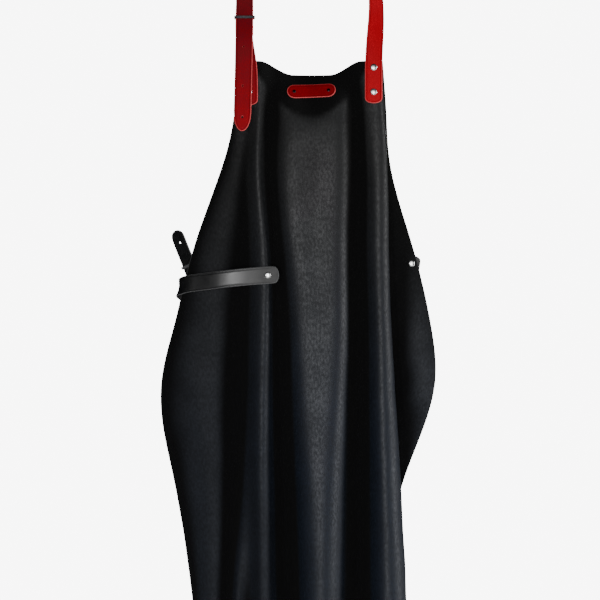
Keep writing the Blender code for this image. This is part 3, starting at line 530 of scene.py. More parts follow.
def hide_points(fractions, drops, rows=360):
    """The middle surface of the hide, for paired arrays of fraction and drop."""
    fractions, drops = np.broadcast_arrays(fractions, drops)
    levels = np.linspace(0, APRON_HEIGHT, rows)
    columns, which = np.unique(fractions, return_inverse=True)
    which = which.reshape(fractions.shape)
    table = sections(levels, columns)
    x = np.empty(fractions.shape)
    forward = np.empty(fractions.shape)
    for k in range(len(columns)):
        here = which == k
        x[here] = np.interp(drops[here], levels, table[:, k, 0])
        forward[here] = np.interp(drops[here], levels, table[:, k, 1])
    forward = forward - cowl(x, drops)
    return np.stack([x, APRON_Y - forward, BIB_Z - drops], axis=-1)


def hide_edges(fractions):
    """The drop of the neckline and of the hem along the hide's width."""
    shoulder = np.clip((NECK_SHOULDER - abs(fractions - 0.5)) / (NECK_SHOULDER - NECK_FLAT), 0, 1)
    neckline = NECK_DIP * shoulder**2 * (3 - 2 * shoulder)
    inset = HEM_CORNER - np.minimum(fractions, 1 - fractions) * 2 * CUT_HALVES[-1]
    rise = HEM_CORNER - np.sqrt(HEM_CORNER**2 - np.clip(inset, 0, HEM_CORNER) ** 2)
    return neckline, APRON_HEIGHT - rise


def slack(across, drop):
    """Low buckles that a hide keeps from lying folded, strongest in the two loose sides."""
    loose = min(1.0, max(0.0, (abs(across) - 0.06) / 0.10)) * min(1.0, drop / 0.15)
    long = noise.noise(Vector((across * 16, drop * 7, 0.3)))
    short = noise.noise(Vector((across * 38, drop * 20, 4.1)))
    return (0.0016 * long + 0.0005 * short) * loose + 0.00018 * short


def crests(middle):
    """How far each place stands out from the folds beside it: 0 in a valley, 1 on a ridge."""
    result = np.empty(middle.shape[:2])
    for j, row in enumerate(middle):
        run = lengths_along(row[:, :2])
        even = np.linspace(0, run[-1], 400)
        forward = np.interp(even, run, -row[:, 1])
        reach = int(CREST_REACH / (even[1] - even[0]))
        window = np.hanning(2 * reach + 1)
        around = np.convolve(np.pad(forward, reach, mode="edge"), window / window.sum(), mode="valid")
        out = np.interp(run, even, forward - around)
        result[j] = np.clip((out - CREST_LOW) / (CREST_HIGH - CREST_LOW), 0, 1)
    return result * result * (3 - 2 * result)


def make_hide(look):
    inner = np.linspace(EDGE_SHARE, 1 - EDGE_SHARE, HIDE_COLUMNS - 1)
    fractions = np.concatenate([[0.0], inner, [1.0]])
    neckline, hem = hide_edges(fractions)
    share = np.linspace(0, 1, HIDE_ROWS + 1)
    drops = neckline + share[:, None] * (hem - neckline)
    across = (fractions - 0.5) * 2 * cut_half(drops)
    middle = hide_points(np.broadcast_to(fractions, drops.shape), drops)
    outward = np.cross(np.gradient(middle, axis=1), np.gradient(middle, axis=0))
    outward /= np.linalg.norm(outward, axis=2)[:, :, None]
    if outward[0, HIDE_COLUMNS // 2, 1] > 0:
        outward = -outward
    buckles = np.vectorize(slack)(across, drops)
    middle = middle + outward * buckles[:, :, None]
    side = np.minimum(fractions, 1 - fractions) * 2 * cut_half(drops)
    rim = np.minimum(side, np.minimum(drops - neckline, hem - drops))

    # Painted shade: above this curved line and on the left the crest value drops, which darkens the hide's
    # colour as well as roughening it.
    shade_line = SHADE_DEEP - SHADE_RISE * (middle[:, :, 0] / SHADE_HALF) ** 2
    crest = crests(middle) * (1 - SHADE_DARK * np.clip((shade_line - drops) / SHADE_SOFT + 0.5, 0, 1))
    crest *= np.interp(across, SIDE_SPAN, [SIDE_DULL_AND_SHADE, 1])

    bm = bmesh.new()
    rim_layer = bm.verts.layers.float.new("rim")
    behind_layer = bm.verts.layers.float.new("behind")
    crest_layer = bm.verts.layers.float.new("crest")
    flat = {}
    skins = []
    rows, columns = drops.shape
    for behind, side in ((0.0, 0.5), (1.0, -0.5)):
        skin = middle + outward * HIDE_THICK * side
        grid = []
        for j in range(rows):
            grid.append([bm.verts.new(p) for p in skin[j]])
            for i, vert in enumerate(grid[-1]):
                vert[rim_layer] = rim[j, i]
                vert[behind_layer] = behind
                vert[crest_layer] = crest[j, i]
                flat[vert] = (across[j, i], drops[j, i])
        skins.append(grid)
    for skin in skins:
        for j in range(rows - 1):
            for i in range(columns - 1):
                bm.faces.new((skin[j][i], skin[j][i + 1], skin[j + 1][i + 1], skin[j + 1][i]))
    edge = [(0, i) for i in range(columns)] + [(j, columns - 1) for j in range(1, rows)]
    edge += [(rows - 1, i) for i in range(columns - 2, -1, -1)] + [(j, 0) for j in range(rows - 2, 0, -1)]
    for (j, i), (m, n) in zip(edge, edge[1:] + edge[:1]):
        bm.faces.new((skins[0][j][i], skins[0][m][n], skins[1][m][n], skins[1][j][i]))
    write_pattern(bm, flat)
    return finish("apron_hide", bm, look, ["apron_panel"], shift=Vector())


def write_pattern(bm, flat):
    """UVs that give each vertex its place on the flat leather, in metres."""
    layer = bm.loops.layers.uv.new("UVMap")
    for face in bm.faces:
        for loop in face.loops:
            loop[layer].uv = flat[loop.vert]


class Drape:
    """The hide as the pieces that lie on it need it."""

    def __init__(self, hide):
        mesh = hide.data
        self.tree = BVHTree.FromPolygons([v.co for v in mesh.vertices], [p.vertices for p in mesh.polygons])

    def faces_at(self, x, z):
        """The foremost front and back of the hide at (x, z)."""
        start = Vector((x, -1, z))
        found = []
        while len(found) < 2:
            hit = self.tree.ray_cast(start, BACK)[0]
            if hit is None:
                return None
            found.append(hit.y)
            start = hit + Vector((0, 1e-5, 0))
        return found

    def span(self, places, half_x, half_z):
        """The foremost front and the rearmost back within a small patch round each place."""
        shares = np.linspace(-1, 1, 7)
        spots = [(x + a * half_x, z + b * half_z) for x, z in places for a in shares for b in shares]
        found = [self.faces_at(x, z) for x, z in spots]
        found = [pair for pair in found if pair]
        return min(front for front, _ in found), max(back for _, back in found)

    def surface(self, x, drop):
        """The place on the front at (x, drop), and its outward direction."""
        hit, outward, _, _ = self.tree.ray_cast(Vector((x, -1, BIB_Z - drop)), BACK)
        return hit, outward if outward.y < 0 else -outward


# ---------------------------------------------------------------- straps


def smooth_route(points):
    """Rings' places on a smooth curve through `points`, closer where it bends, with each one's
    direction, its distance along the curve, and those of the points given."""
    points = np.array([tuple(p) for p in points])
    knots = lengths_along(points)
    fine = spline(knots, points, np.linspace(0, knots[-1], 4000))
    run = lengths_along(fine)
    ways = np.gradient(fine, axis=0)
    ways /= np.linalg.norm(ways, axis=1)[:, None]
    turning = np.concatenate([[0], np.cumsum(np.linalg.norm(np.diff(ways, axis=0), axis=1))])
    effort = run / RING_SPACING + turning / TURN_STEP
    wanted = np.linspace(0, effort[-1], max(2, math.ceil(effort[-1]) + 1))
    at = np.interp(wanted, effort, run)
    given = np.interp(knots, np.linspace(0, knots[-1], 4000), run)
    return rows_at(at, run, fine), rows_at(at, run, ways), at, given


def rim_distance(across, half, from_end, rounded):
    """How far a place on a strap is from its cut outline, near an end that rounds off over `rounded`."""
    if rounded <= 0 or from_end >= rounded:
        return half - abs(across)
    along, wide = (rounded - from_end) / rounded, across / half
    reach = math.hypot(along, wide)
    slope = math.hypot(along / rounded, wide / half) / max(reach, 1e-9)
    return max(0.0, (1 - reach) / slope)


def face_height(rim, thick, creased):
    """Half the strap's thickness this far in from its outline."""
    edge = 1 - min(rim / EDGE_ROUND, 1)
    groove = CREASE_DEPTH * math.exp(-(((rim - CREASE_INSET) / CREASE_HALF) ** 2)) if creased else 0
    return thick / 2 * math.sqrt(1 - edge * edge) - groove


def ribbon(route, start_round=0.0, end_round=0.0, span=None, width=STRAP_WIDTH, thick=STRAP_THICK, grain=-1):
    """A flat strap along `route`, a list of (point, across): `across` is the way its width lies.

    `span` keeps only the stretch between two of the route's points. `grain` is the side with creases.
    """
    places, ways, at, knots = smooth_route([point for point, _ in route])
    first, last = (knots[span[0]], knots[span[1]]) if span else (0.0, at[-1])
    steps = [r for r in (*RIM_STEPS[1:], 0.012, 0.018) if r > 0]
    ends = [first + r for r in steps if r < start_round] + [last - r for r in steps if r < end_round]
    inner = [a for a in at if first + start_round < a < last - end_round]
    wanted = np.unique(np.concatenate([[first], ends, inner, [last]]))
    hints = np.array([tuple(across) for _, across in route], float)
    half = width / 2
    columns = [half - r for r in RIM_STEPS if r < half - 0.001] + [half * 0.12]
    columns = [-c for c in columns] + columns[::-1]
    bm = bmesh.new()
    rim_layer = bm.verts.layers.float.new("rim")
    flat = {}
    rings = []
    for run, place, way, hint in zip(wanted, rows_at(wanted, at, places), rows_at(wanted, at, ways),
                                     rows_at(wanted, knots, hints)):
        way, hint, place = Vector(way).normalized(), Vector(hint), Vector(place)
        side = (hint - way * hint.dot(way)).normalized()
        outward = way.cross(side) * grain
        from_start, from_end = run - first, last - run
        shares = [math.sqrt(1 - (1 - min(d / r, 1)) ** 2) if r else 1.0 for d, r in
                  ((from_start, start_round), (from_end, end_round))]
        share = min(shares)
        if share < 1e-6:
            vert = bm.verts.new(place)
            flat[vert] = (run, 0.0)
            rings.append([vert])
            continue
        front, behind = [], []
        for number, column in enumerate(columns):
            across = column * share
            rim = min(rim_distance(across, half, from_start, start_round),
                      rim_distance(across, half, from_end, end_round))
            for rank, sign, creased in ((front, 1, True), (behind, -1, False)):
                if sign < 0 and number in (0, len(columns) - 1):
                    continue
                height = sign * face_height(rim, thick, creased)
                vert = bm.verts.new(place + side * across + outward * height)
                vert[rim_layer] = rim
                flat[vert] = (run, across)
                rank.append(vert)
        rings.append(front + behind[::-1])
    for one, two in zip(rings, rings[1:]):
        count = max(len(one), len(two))
        for k in range(count):
            m = (k + 1) % count
            corners = [one[k % len(one)], one[m % len(one)], two[m % len(two)], two[k % len(two)]]
            bm.faces.new(list(dict.fromkeys(corners)))
    for ring in (rings[0], rings[-1]):
        if len(ring) > 1:
            bm.faces.new(ring)
    write_pattern(bm, flat)
    return bm


def turned(profile, place, axis, sides=32):
    """A solid turned from (radius, height) points about `axis` at `place`."""
    bm = bmesh.new()
    upright = Vector(axis).to_track_quat("Z", "Y").to_matrix()
    rings = []
    for radius, height in profile:
        spots = sides if radius else 1
        angles = [2 * math.pi * k / sides for k in range(spots)]
        ring = [Vector((radius * math.cos(a), radius * math.sin(a), height)) for a in angles]
        rings.append([bm.verts.new(Vector(place) + upright @ spot) for spot in ring])
    for first, second in zip(rings, rings[1:]):
        for k in range(sides):
            m = (k + 1) % sides
            corners = [first[k % len(first)], first[m % len(first)], second[m % len(second)],
                       second[k % len(second)]]
            bm.faces.new(list(dict.fromkeys(corners)))
    return bm


def punch(obj, place, axis, radius=PUNCH_RADIUS, slot_length=0.0, along=None):
    """A round hole through a strap, or a slot of that length."""
    deep = 0.004
    cutter = turned([(0, -deep), (radius, -deep), (radius, deep), (0, deep)], (0, 0, 0), axis, 20)
    if slot_length:
        for vert in cutter.verts:
            vert.co += along * (slot_length / 2) * (1 if vert.co.dot(along) > 0 else -1)
    bmesh.ops.translate(cutter, verts=cutter.verts, vec=Vector(place) + HANG)
    combine(obj, cutter, "DIFFERENCE")


# ---------------------------------------------------------------- buckles and keepers


def rounded_outline(half_x, half_z, corner, low_z, steps=7):
    """A closed outline with round corners in the (x, z) plane, from `low_z` up by 2 half_z."""
    outline = []
    for x, z, start in ((1, 1, 0), (-1, 1, 90), (-1, -1, 180), (1, -1, 270)):
        centre = Vector((x * (half_x - corner), 0, low_z + half_z + z * (half_z - corner)))
        for k in range(steps):
            angle = math.radians(start + 90 * k / (steps - 1))
            outline.append(centre + Vector((math.cos(angle), 0, math.sin(angle))) * corner)
    return outline


def swept_loop(outline, normal, section, frame):
    """A closed loop: `section` is its (outwards, sideways) profile, carried round the outline."""
    bm = bmesh.new()
    rings = []
    for k, place in enumerate(outline):
        way = (outline[(k + 1) % len(outline)] - outline[k - 1]).normalized()
        out = way.cross(normal).normalized()
        rings.append([bm.verts.new(frame @ (place + out * a + normal * b)) for a, b in section])
    for k, first in enumerate(rings):
        second = rings[(k + 1) % len(rings)]
        for s in range(len(section)):
            m = (s + 1) % len(section)
            bm.faces.new((first[s], first[m], second[m], second[s]))
    return bm


def make_buckle(prefix, frame, look):
    """The frame, and its tongue on the hinge bar, which lies along the buckle's x at its origin."""
    side = STRAP_WIDTH / 2 + BUCKLE_ROOM + BUCKLE_WIRE
    outline = rounded_outline(side, BUCKLE_WINDOW / 2, BUCKLE_CORNER / 2, 0)
    around = np.linspace(0, 2 * math.pi, 15)[:-1]
    section = [(BUCKLE_WIRE * math.cos(a), BUCKLE_WIRE * math.sin(a)) for a in around]
    body = finish(f"{prefix}_buckle_bow", swept_loop(outline, FRONT, section, frame), look,
                  [f"{prefix}_buckle_frame"])
    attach(body, "apron")
    inner = BUCKLE_WIRE + TOUCH
    middle = inner + TONGUE_RADIUS
    ring = [(middle + TONGUE_RADIUS * math.cos(a), TONGUE_RADIUS * math.sin(a)) for a in
            np.linspace(0, 2 * math.pi, 13)]
    eye = turned(ring, frame.translation, frame.to_3x3() @ ACROSS, 28)
    bmesh.ops.remove_doubles(eye, verts=eye.verts, dist=1e-6)
    tongue = finish(f"{prefix}_buckle_prong", eye, look, [f"{prefix}_buckle_tongue"])
    front = BUCKLE_WIRE + TOUCH + TONGUE_RADIUS
    root = Vector((0, -0.3 * front, inner + TONGUE_RADIUS))
    tip = Vector((0, -front, BUCKLE_WINDOW + BUCKLE_WIRE + 0.001))
    length = (tip - root).length
    thin = TONGUE_RADIUS * 0.9
    quarter = np.linspace(0, math.pi / 2, 5)[:-1]
    end = [(thin * math.cos(a), length - thin + thin * math.sin(a)) for a in quarter]
    prong = turned([(0, 0), (TONGUE_RADIUS, 0.0002), *end, (0, length)], root, tip - root, 16)
    bmesh.ops.transform(prong, matrix=Matrix.Translation(HANG) @ frame, verts=prong.verts)
    combine(tongue, prong, "UNION")
    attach(tongue, f"{prefix}_tongue")


def make_keeper(name, node, frame, centre_y, depth, look):
    """A flat loop round a stack of straps `depth` thick, centred at `centre_y` in its frame."""
    half_x = STRAP_WIDTH / 2 + KEEPER_ROOM + KEEPER_WALL / 2
    half_y = depth / 2 + TOUCH + KEEPER_WALL / 2
    turn = Matrix.Rotation(math.radians(90), 4, "X")
    upright = rounded_outline(half_x, half_y, KEEPER_CORNER, -half_y, 5)
    outline = [turn @ p + Vector((0, centre_y, 0)) for p in upright]
    high, wall, edge = KEEPER_HEIGHT / 2, KEEPER_WALL / 2, 0.0003
    section = [(-wall, -high + edge), (-wall, high - edge), (edge - wall, high), (wall - edge, high),
               (wall, high - edge), (wall, edge - high), (wall - edge, -high), (edge - wall, -high)]
    return finish(name, swept_loop(outline, Vector((0, 0, 1)), section, frame), look, [node])


def ply_offset():
    return BUCKLE_WIRE + 2 * TOUCH + STRAP_THICK / 2


def folded_end(frame, reach, settle):
    """The strap's way up to the bar, over it and back, in the buckle's own frame."""
    out = ply_offset()
    close = STRAP_THICK / 2 + TOUCH / 2
    way = [(-close, -reach - 0.003), (-close, -settle), (-close - 0.0004, -0.016), (-out, -0.004)]
    way += [(-out * math.cos(a), out * math.sin(a)) for a in (0, 0.8, math.pi / 2, math.pi - 0.8, math.pi)]
    way += [(out, -0.004), (close + 0.0004, -0.016), (close, -settle), (close, -reach)]
    return [(frame @ Vector((0, y, z)), frame.to_3x3() @ ACROSS) for y, z in way]


def threaded(frame, above, below, rise):
    """The threaded strap's way: behind the far bar, over the hinge bar, then along the folded strap."""
    out = ply_offset()
    over = out + STRAP_THICK + 2 * TOUCH
    way = [(out, above), (out, BUCKLE_WINDOW + 0.001), (out - 0.0008, BUCKLE_WINDOW - 0.004), (-over, 0.003),
           (-over, -0.004), (-over + 0.8 * rise, -0.016), (-over + rise, -below)]
    return [(frame @ Vector((0, y, z)), frame.to_3x3() @ ACROSS) for y, z in way]


# ---------------------------------------------------------------- rivets


def cap_shape():
    """A domed rivet cap of radius 1 on a short neck that goes into the leather."""
    dome = [(0.94 * math.cos(a), 0.08 + 0.22 * math.sin(a)) for a in np.linspace(0.05, math.pi / 2, 7)[:-1]]
    profile = [(0, -0.20), (0.32, -0.20), (0.32, 0), (0.95, 0), (1.0, 0.03), (0.99, 0.07), *dome, (0, 0.30)]
    bm = turned(profile, (0, 0, 0), (0, 0, 1), 28)
    bmesh.ops.recalc_face_normals(bm, faces=bm.faces)
    mesh = bpy.data.meshes.new("rivet cap")
    bm.to_mesh(mesh)
    bm.free()
    cap = bpy.data.objects.new("rivet cap", mesh)
    bpy.context.scene.collection.objects.link(cap)
    return cap


def cap_tree():
    """Geometry nodes that set a cap on every point, facing and sized as the point says."""
    tree = bpy.data.node_groups.new("Set rivet caps", "GeometryNodeTree")
    sockets = tree.interface
    sockets.new_socket("Geometry", in_out="INPUT", socket_type="NodeSocketGeometry")
    sockets.new_socket("Cap", in_out="INPUT", socket_type="NodeSocketObject")
    sockets.new_socket("Metal", in_out="INPUT", socket_type="NodeSocketMaterial")
    sockets.new_socket("Size", in_out="INPUT", socket_type="NodeSocketFloat")
    sockets.new_socket("Geometry", in_out="OUTPUT", socket_type="NodeSocketGeometry")

    def node(kind, inputs=None, **settings):
        made = tree.nodes.new(kind)
        for name, value in settings.items():
            setattr(made, name, value)
        for name, value in (inputs or {}).items():
            if isinstance(value, bpy.types.NodeSocket):
                tree.links.new(value, made.inputs[name])
            else:
                made.inputs[name].default_value = value
        return made

    given = node("NodeGroupInput").outputs
    cap = node("GeometryNodeObjectInfo", {"Object": given["Cap"]}).outputs["Geometry"]
    facing = node("GeometryNodeInputNamedAttribute", {"Name": "facing"}, data_type="FLOAT_VECTOR").outputs[0]
    radius = node("GeometryNodeInputNamedAttribute", {"Name": "radius"}, data_type="FLOAT").outputs[0]
    size = node("ShaderNodeMath", {0: radius, 1: given["Size"]}, operation="MULTIPLY").outputs[0]
    turn = node("FunctionNodeAlignRotationToVector", {"Vector": facing}, axis="Z").outputs[0]
    placed = node("GeometryNodeInstanceOnPoints",
                  {"Points": given["Geometry"], "Instance": cap, "Rotation": turn, "Scale": size}).outputs[0]
    real = node("GeometryNodeRealizeInstances", {"Geometry": placed}).outputs[0]
    painted = node("GeometryNodeSetMaterial", {"Geometry": real, "Material": given["Metal"]}).outputs[0]
    node("NodeGroupOutput", {"Geometry": painted})
    return tree


def set_rivets(name, caps, cap, tree, look, nodes):
    """One mesh of all the caps of one metal. `caps` holds (place, facing, radius)."""
    mesh = bpy.data.meshes.new(name)
    mesh.from_pydata([place + HANG for place, _, _ in caps], [], [])
    facing = mesh.attributes.new("facing", "FLOAT_VECTOR", "POINT")
    facing.data.foreach_set("vector", [c for _, way, _ in caps for c in way])
    radius = mesh.attributes.new("radius", "FLOAT", "POINT")
    radius.data.foreach_set("value", [size for _, _, size in caps])
    obj = bpy.data.objects.new(name, mesh)
    bpy.context.scene.collection.objects.link(obj)
    made = obj.modifiers.new("caps", "NODES")
    made.node_group = tree
    names = {item.name: item.identifier for item in tree.interface.items_tree if item.in_out == "INPUT"}
    made[names["Cap"]] = cap
    made[names["Metal"]] = look
    made[names["Size"]] = 1.0
    apply_modifiers(obj, 50)
    obj.data.materials.pop(index=0)
    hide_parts(*nodes)
    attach(obj, "apron")


# ---------------------------------------------------------------- the hook


def tube(path, radii, sides=24):
    """A round bar along `path`, as thick as `radii` says at each point."""
    bm = bmesh.new()
    rings = []
    for k, (place, radius) in enumerate(zip(path, radii)):
        way = (path[min(k + 1, len(path) - 1)] - path[max(k - 1, 0)]).normalized()
        up = way.cross(ACROSS).normalized()
        angles = [2 * math.pi * s / sides for s in range(sides)]
        spokes = [ACROSS * math.cos(a) + up * math.sin(a) for a in angles]
        rings.append([bm.verts.new(place + spoke * radius) for spoke in spokes])
    for first, second in zip(rings, rings[1:]):
        for s in range(sides):
            m = (s + 1) % sides
            bm.faces.new((first[s], first[m], second[m], second[s]))
    bm.faces.new(rings[0])
    bm.faces.new(rings[-1])
    return bm


def make_hook(look):
    low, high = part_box("hook_plate")
    size = high - low
    bm = bmesh.new()
    bmesh.ops.create_cube(bm, size=1)
    bmesh.ops.scale(bm, verts=bm.verts, vec=size)
    bmesh.ops.translate(bm, verts=bm.verts, vec=(low + high) / 2)
    upright = [e for e in bm.edges if abs(e.verts[0].co.y - e.verts[1].co.y) > size.y / 2]
    bmesh.ops.bevel(bm, geom=upright, offset=0.008, segments=10, affect="EDGES")
    front = [e for e in bm.edges if all(v.co.y < low.y + 1e-5 for v in e.verts)]
    bmesh.ops.bevel(bm, geom=front, offset=0.0011, segments=4, affect="EDGES")
    plate = finish("hook_back_plate", bm, look, ["hook_plate"], shift=Vector(), sharp=30)
    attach(plate, "hook")

    for name in ("upper", "lower"):
        low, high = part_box(f"wall_screw_{name}")
        head, face, top = (high.x - low.x) / 2, -low.y, Vector((0, 0, (low.z + high.z) / 2))
        crown = [(head * math.cos(a), 0.0049 + (face - 0.0049) * math.sin(a)) for a in
                 np.linspace(0, math.pi / 2, 7)[:-1]]
        screw = finish(f"{name}_screw", turned([(0, 0.0020), (head * 0.5, 0.0020), (head * 0.5, 0.0042),
                                                (head, 0.0042), *crown, (0, face)], top, FRONT), look,
                       [f"wall_screw_{name}"], shift=Vector())
        slot_cut = bmesh.new()
        bmesh.ops.create_cube(slot_cut, size=1)
        bmesh.ops.scale(slot_cut, verts=slot_cut.verts, vec=(2.2 * head, 0.0012, 0.0011))
        tilt = Matrix.Rotation(math.radians(35 if name == "upper" else -20), 4, "Y")
        across_head = Matrix.Translation((0, -face, top.z)) @ tilt
        bmesh.ops.transform(slot_cut, matrix=across_head, verts=slot_cut.verts)
        combine(screw, slot_cut, "DIFFERENCE")
        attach(screw, "hook")

    weld = [(0.0035, 0.0035), (0.0048, 0.0033), (0.0062, 0.0012), (0.0085, 0), (0.0300, 0)]
    path = [Vector((0, -out, -ARM_BELOW)) for out, _ in weld]
    radii = [ARM_RADIUS + wider for _, wider in weld]
    turn = Vector((0, -ARM_REACH + ARM_BEND, -ARM_BELOW + ARM_BEND))
    for angle in np.radians(np.linspace(0, 90, 15)):
        path.append(turn + Vector((0, -math.sin(angle), -math.cos(angle))) * ARM_BEND)
        radii.append(ARM_RADIUS)
    top = Vector((0, -ARM_REACH, -ARM_BELOW + ARM_RISE))
    for angle in np.radians(np.linspace(0, 80, 7)):
        path.append(top - Vector((0, 0, ARM_RADIUS * 0.9 * (1 - math.sin(angle)))))
        radii.append(ARM_RADIUS * math.cos(angle))
    arm = finish("hook_bar", tube(path, radii), look, ["hook_arm"], shift=Vector())
    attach(arm, "hook")


# ---------------------------------------------------------------- the apron's straps


def at_drop(x, y, drop):
    return Vector((x, y, BIB_Z - drop))


def strap_on_bib(drape, x):
    """The middle of a strap that lies on the bib's front."""
    lowest = STRAP_END_DROP + 0.003
    places = [(x, BIB_Z - drop) for drop in (0.013, lowest / 2, lowest - 0.013)]
    return drape.span(places, STRAP_WIDTH / 2, 0.0125)[0] - TOUCH - STRAP_THICK / 2


def rivet_caps(drape, x, z, strap_y, radius=RIVET_CAP_RADIUS):
    """The caps in front of a strap and behind the hide."""
    rear = drape.span([(x, z)], radius, radius)[1]
    return [(Vector((x, strap_y - STRAP_THICK / 2, z)), FRONT, radius), (Vector((x, rear, z)), BACK, radius)]


def saddle_point(angle):
    radius = ARM_RADIUS + 2 * TOUCH + STRAP_THICK / 2
    return Vector((HOOK_X + radius * math.sin(angle), SADDLE_Y, -ARM_BELOW + radius * math.cos(angle)))


def make_neck(drape, red, nickel, dark):
    strap_y = strap_on_bib(drape, RIGHT_STRAP_X)
    left_y = strap_on_bib(drape, LEFT_STRAP_X)

    def down(x, forward, share):
        """A place `share` of the way down to the bib and `forward` of the way out to its front."""
        return x, SADDLE_Y + (strap_y - SADDLE_Y) * forward, -ARM_BELOW - BIB_DROP * share

    bar = at_drop(NECK_BUCKLE_BAR[0], left_y + STRAP_THICK / 2 + TOUCH / 2, -NECK_BUCKLE_BAR[1])
    frame = Matrix.Translation(bar)
    make_buckle("neck", frame, nickel)
    keeper_z = BIB_Z + NECK_KEEPER_RISE
    thread = threaded(frame, BUCKLE_WINDOW + 0.012, bar.z - keeper_z + 0.003, 0.0018)
    hang_y = thread[-1][0].y
    low_y = left_y - STRAP_THICK - 0.0014 - 5 * TOUCH
    over = [(saddle_point(a), BACK) for a in np.linspace(SADDLE_LEAVE, -SADDLE_LEAVE, 9)]
    route = [(at_drop(RIGHT_STRAP_X, strap_y, STRAP_END_DROP), ACROSS),
             (at_drop(RIGHT_STRAP_X, strap_y, 0.03), ACROSS),
             (down(0.0900, 1, 1), ACROSS),
             (down(0.0915, 1, 0.925), Vector((1, 0.15, 0))),
             (down(0.0935, 0.9, 0.8175), Vector((1, 0.55, 0))),
             (down(0.0870, 0.7, 0.6625), Vector((1, 0.9, 0))),
             (down(0.0670, 0.4, 0.4625), Vector((0.7, 1, 0))),
             (down(0.0320, 0.1, 0.2125), Vector((0.25, 1, 0))),
             (down(HOOK_X + 0.0185, 0, 0.075), BACK),
             *over,
             (down(HOOK_X - 0.0175, 0, 0.075), BACK),
             (down(-0.0450, 0.1, 0.2125), Vector((-0.35, 1, 0))),
             (down(-0.0700, 0.3, 0.40), Vector((-1, 0.8, 0))),
             (down(-0.0890, 0.4, 0.55), Vector((-1, 0.2, 0))),
             *[(point, -across) for point, across in thread]]
    crown, keeper_at = 9 + len(over) // 2, len(route) - 1
    route += [(at_drop(bar.x - 0.0006, min(hang_y, low_y), -0.030), -ACROSS),
              (at_drop(-0.0962, low_y, 0), -ACROSS),
              (at_drop(-0.0975, low_y, 0.0550), -ACROSS),
              (at_drop(-0.0987, low_y, 0.1015), -ACROSS)]

    riveted = ribbon(route, start_round=RIVETED_ROUND, span=(0, crown))
    right = finish("neck_strap_riveted", riveted, red,
                   ["neck_strap_right", "neck_strap_saddle"])
    left = finish("neck_strap_long", ribbon(route, span=(crown, keeper_at)), red,
                  ["neck_strap_left"])
    slot = TONGUE_RADIUS + TOUCH
    punch(left, frame @ TONGUE_HOLE, FRONT, slot, TONGUE_SLOT, Vector((0, 0, 1)))
    for piece in (right, left):
        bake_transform(piece)
    hanging = ribbon(route, end_round=NECK_TIP_ROUND, span=(keeper_at, len(route) - 1))
    tail = finish("neck_strap_tip", hanging, red, ["neck_strap_tail"])
    for drop in NECK_HOLE_DROPS:
        punch(tail, at_drop(-0.0966 - 0.0016 * drop / 0.0815, low_y, drop), FRONT)
    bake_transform(tail)

    up = [(at_drop(LEFT_STRAP_X, left_y, STRAP_END_DROP + 0.0025), ACROSS),
          (at_drop(LEFT_STRAP_X, left_y, 0.03), ACROSS),
          (at_drop(LEFT_STRAP_X - 0.0020, left_y, 0), ACROSS)]
    way = up + folded_end(frame, 0.084, 0.030)
    folded = ribbon(way, start_round=RIVETED_ROUND, end_round=FOLDED_ROUND)
    buckle_strap = finish("neck_strap_short", folded, red, ["neck_buckle_strap"])
    punch(buckle_strap, bar, FRONT, slot, BAR_SLOT, Vector((0, 0, 1)))
    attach(buckle_strap, "apron")

    back_face = STRAP_THICK + TOUCH / 2
    front_face = bar.y - hang_y + STRAP_THICK / 2
    keeper = make_keeper("neck_strap_keeper", "neck_keeper", Matrix.Translation((bar.x, bar.y, keeper_z)),
                         (back_face - front_face) / 2, back_face + front_face + TOUCH, dark)
    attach(keeper, "neck_loop")

    caps = []
    for drop in NECK_RIVET_DROPS:
        caps += rivet_caps(drape, RIGHT_STRAP_X, BIB_Z - drop, strap_y)
        caps += rivet_caps(drape, LEFT_STRAP_X, BIB_Z - drop, left_y)
    ply = STRAP_THICK + TOUCH / 2
    fold = Vector((bar.x + 0.0003, bar.y, bar.z - 0.074))
    caps += [(fold + FRONT * ply, FRONT, FOLD_CAP_RADIUS), (fold + BACK * ply, BACK, FOLD_CAP_RADIUS)]
    return caps


def make_label(drape, red):
    x, drop = LABEL_PLACE
    length, height, thick = LABEL_SIZE
    lift = 3 * TOUCH + thick / 2
    route = []
    for share in (-0.5, -0.25, 0, 0.25, 0.5):
        along = share * length
        place, outward = drape.surface(x + along, drop - along * math.tan(LABEL_TILT))
        below = Vector((0, -outward.z, outward.y)).normalized()
        route.append((place + outward * lift, below if below.z < 0 else -below))
    patch = ribbon(route, start_round=height / 2, end_round=height / 2, width=height, thick=thick)
    label = finish("label_leather", patch, red, ["label_patch"])
    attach(label, "apron")
    caps = []
    for side in (-1, 1):
        along = side * LABEL_RIVET_X
        place, outward = drape.surface(x + along, drop - along * math.tan(LABEL_TILT))
        caps.append((place + outward * (lift + thick / 2), outward, LABEL_CAP_RADIUS))
        caps.append((place - outward * HIDE_THICK, -outward, LABEL_CAP_RADIUS))
    return caps


def twisted(way, share):
    """The way the waist tail's width lies as it climbs along `way` and turns its face to the left."""
    turn = WAIST_TAIL_TWIST * share
    return FRONT.cross(way) * -math.cos(turn) + FRONT * math.sin(turn)


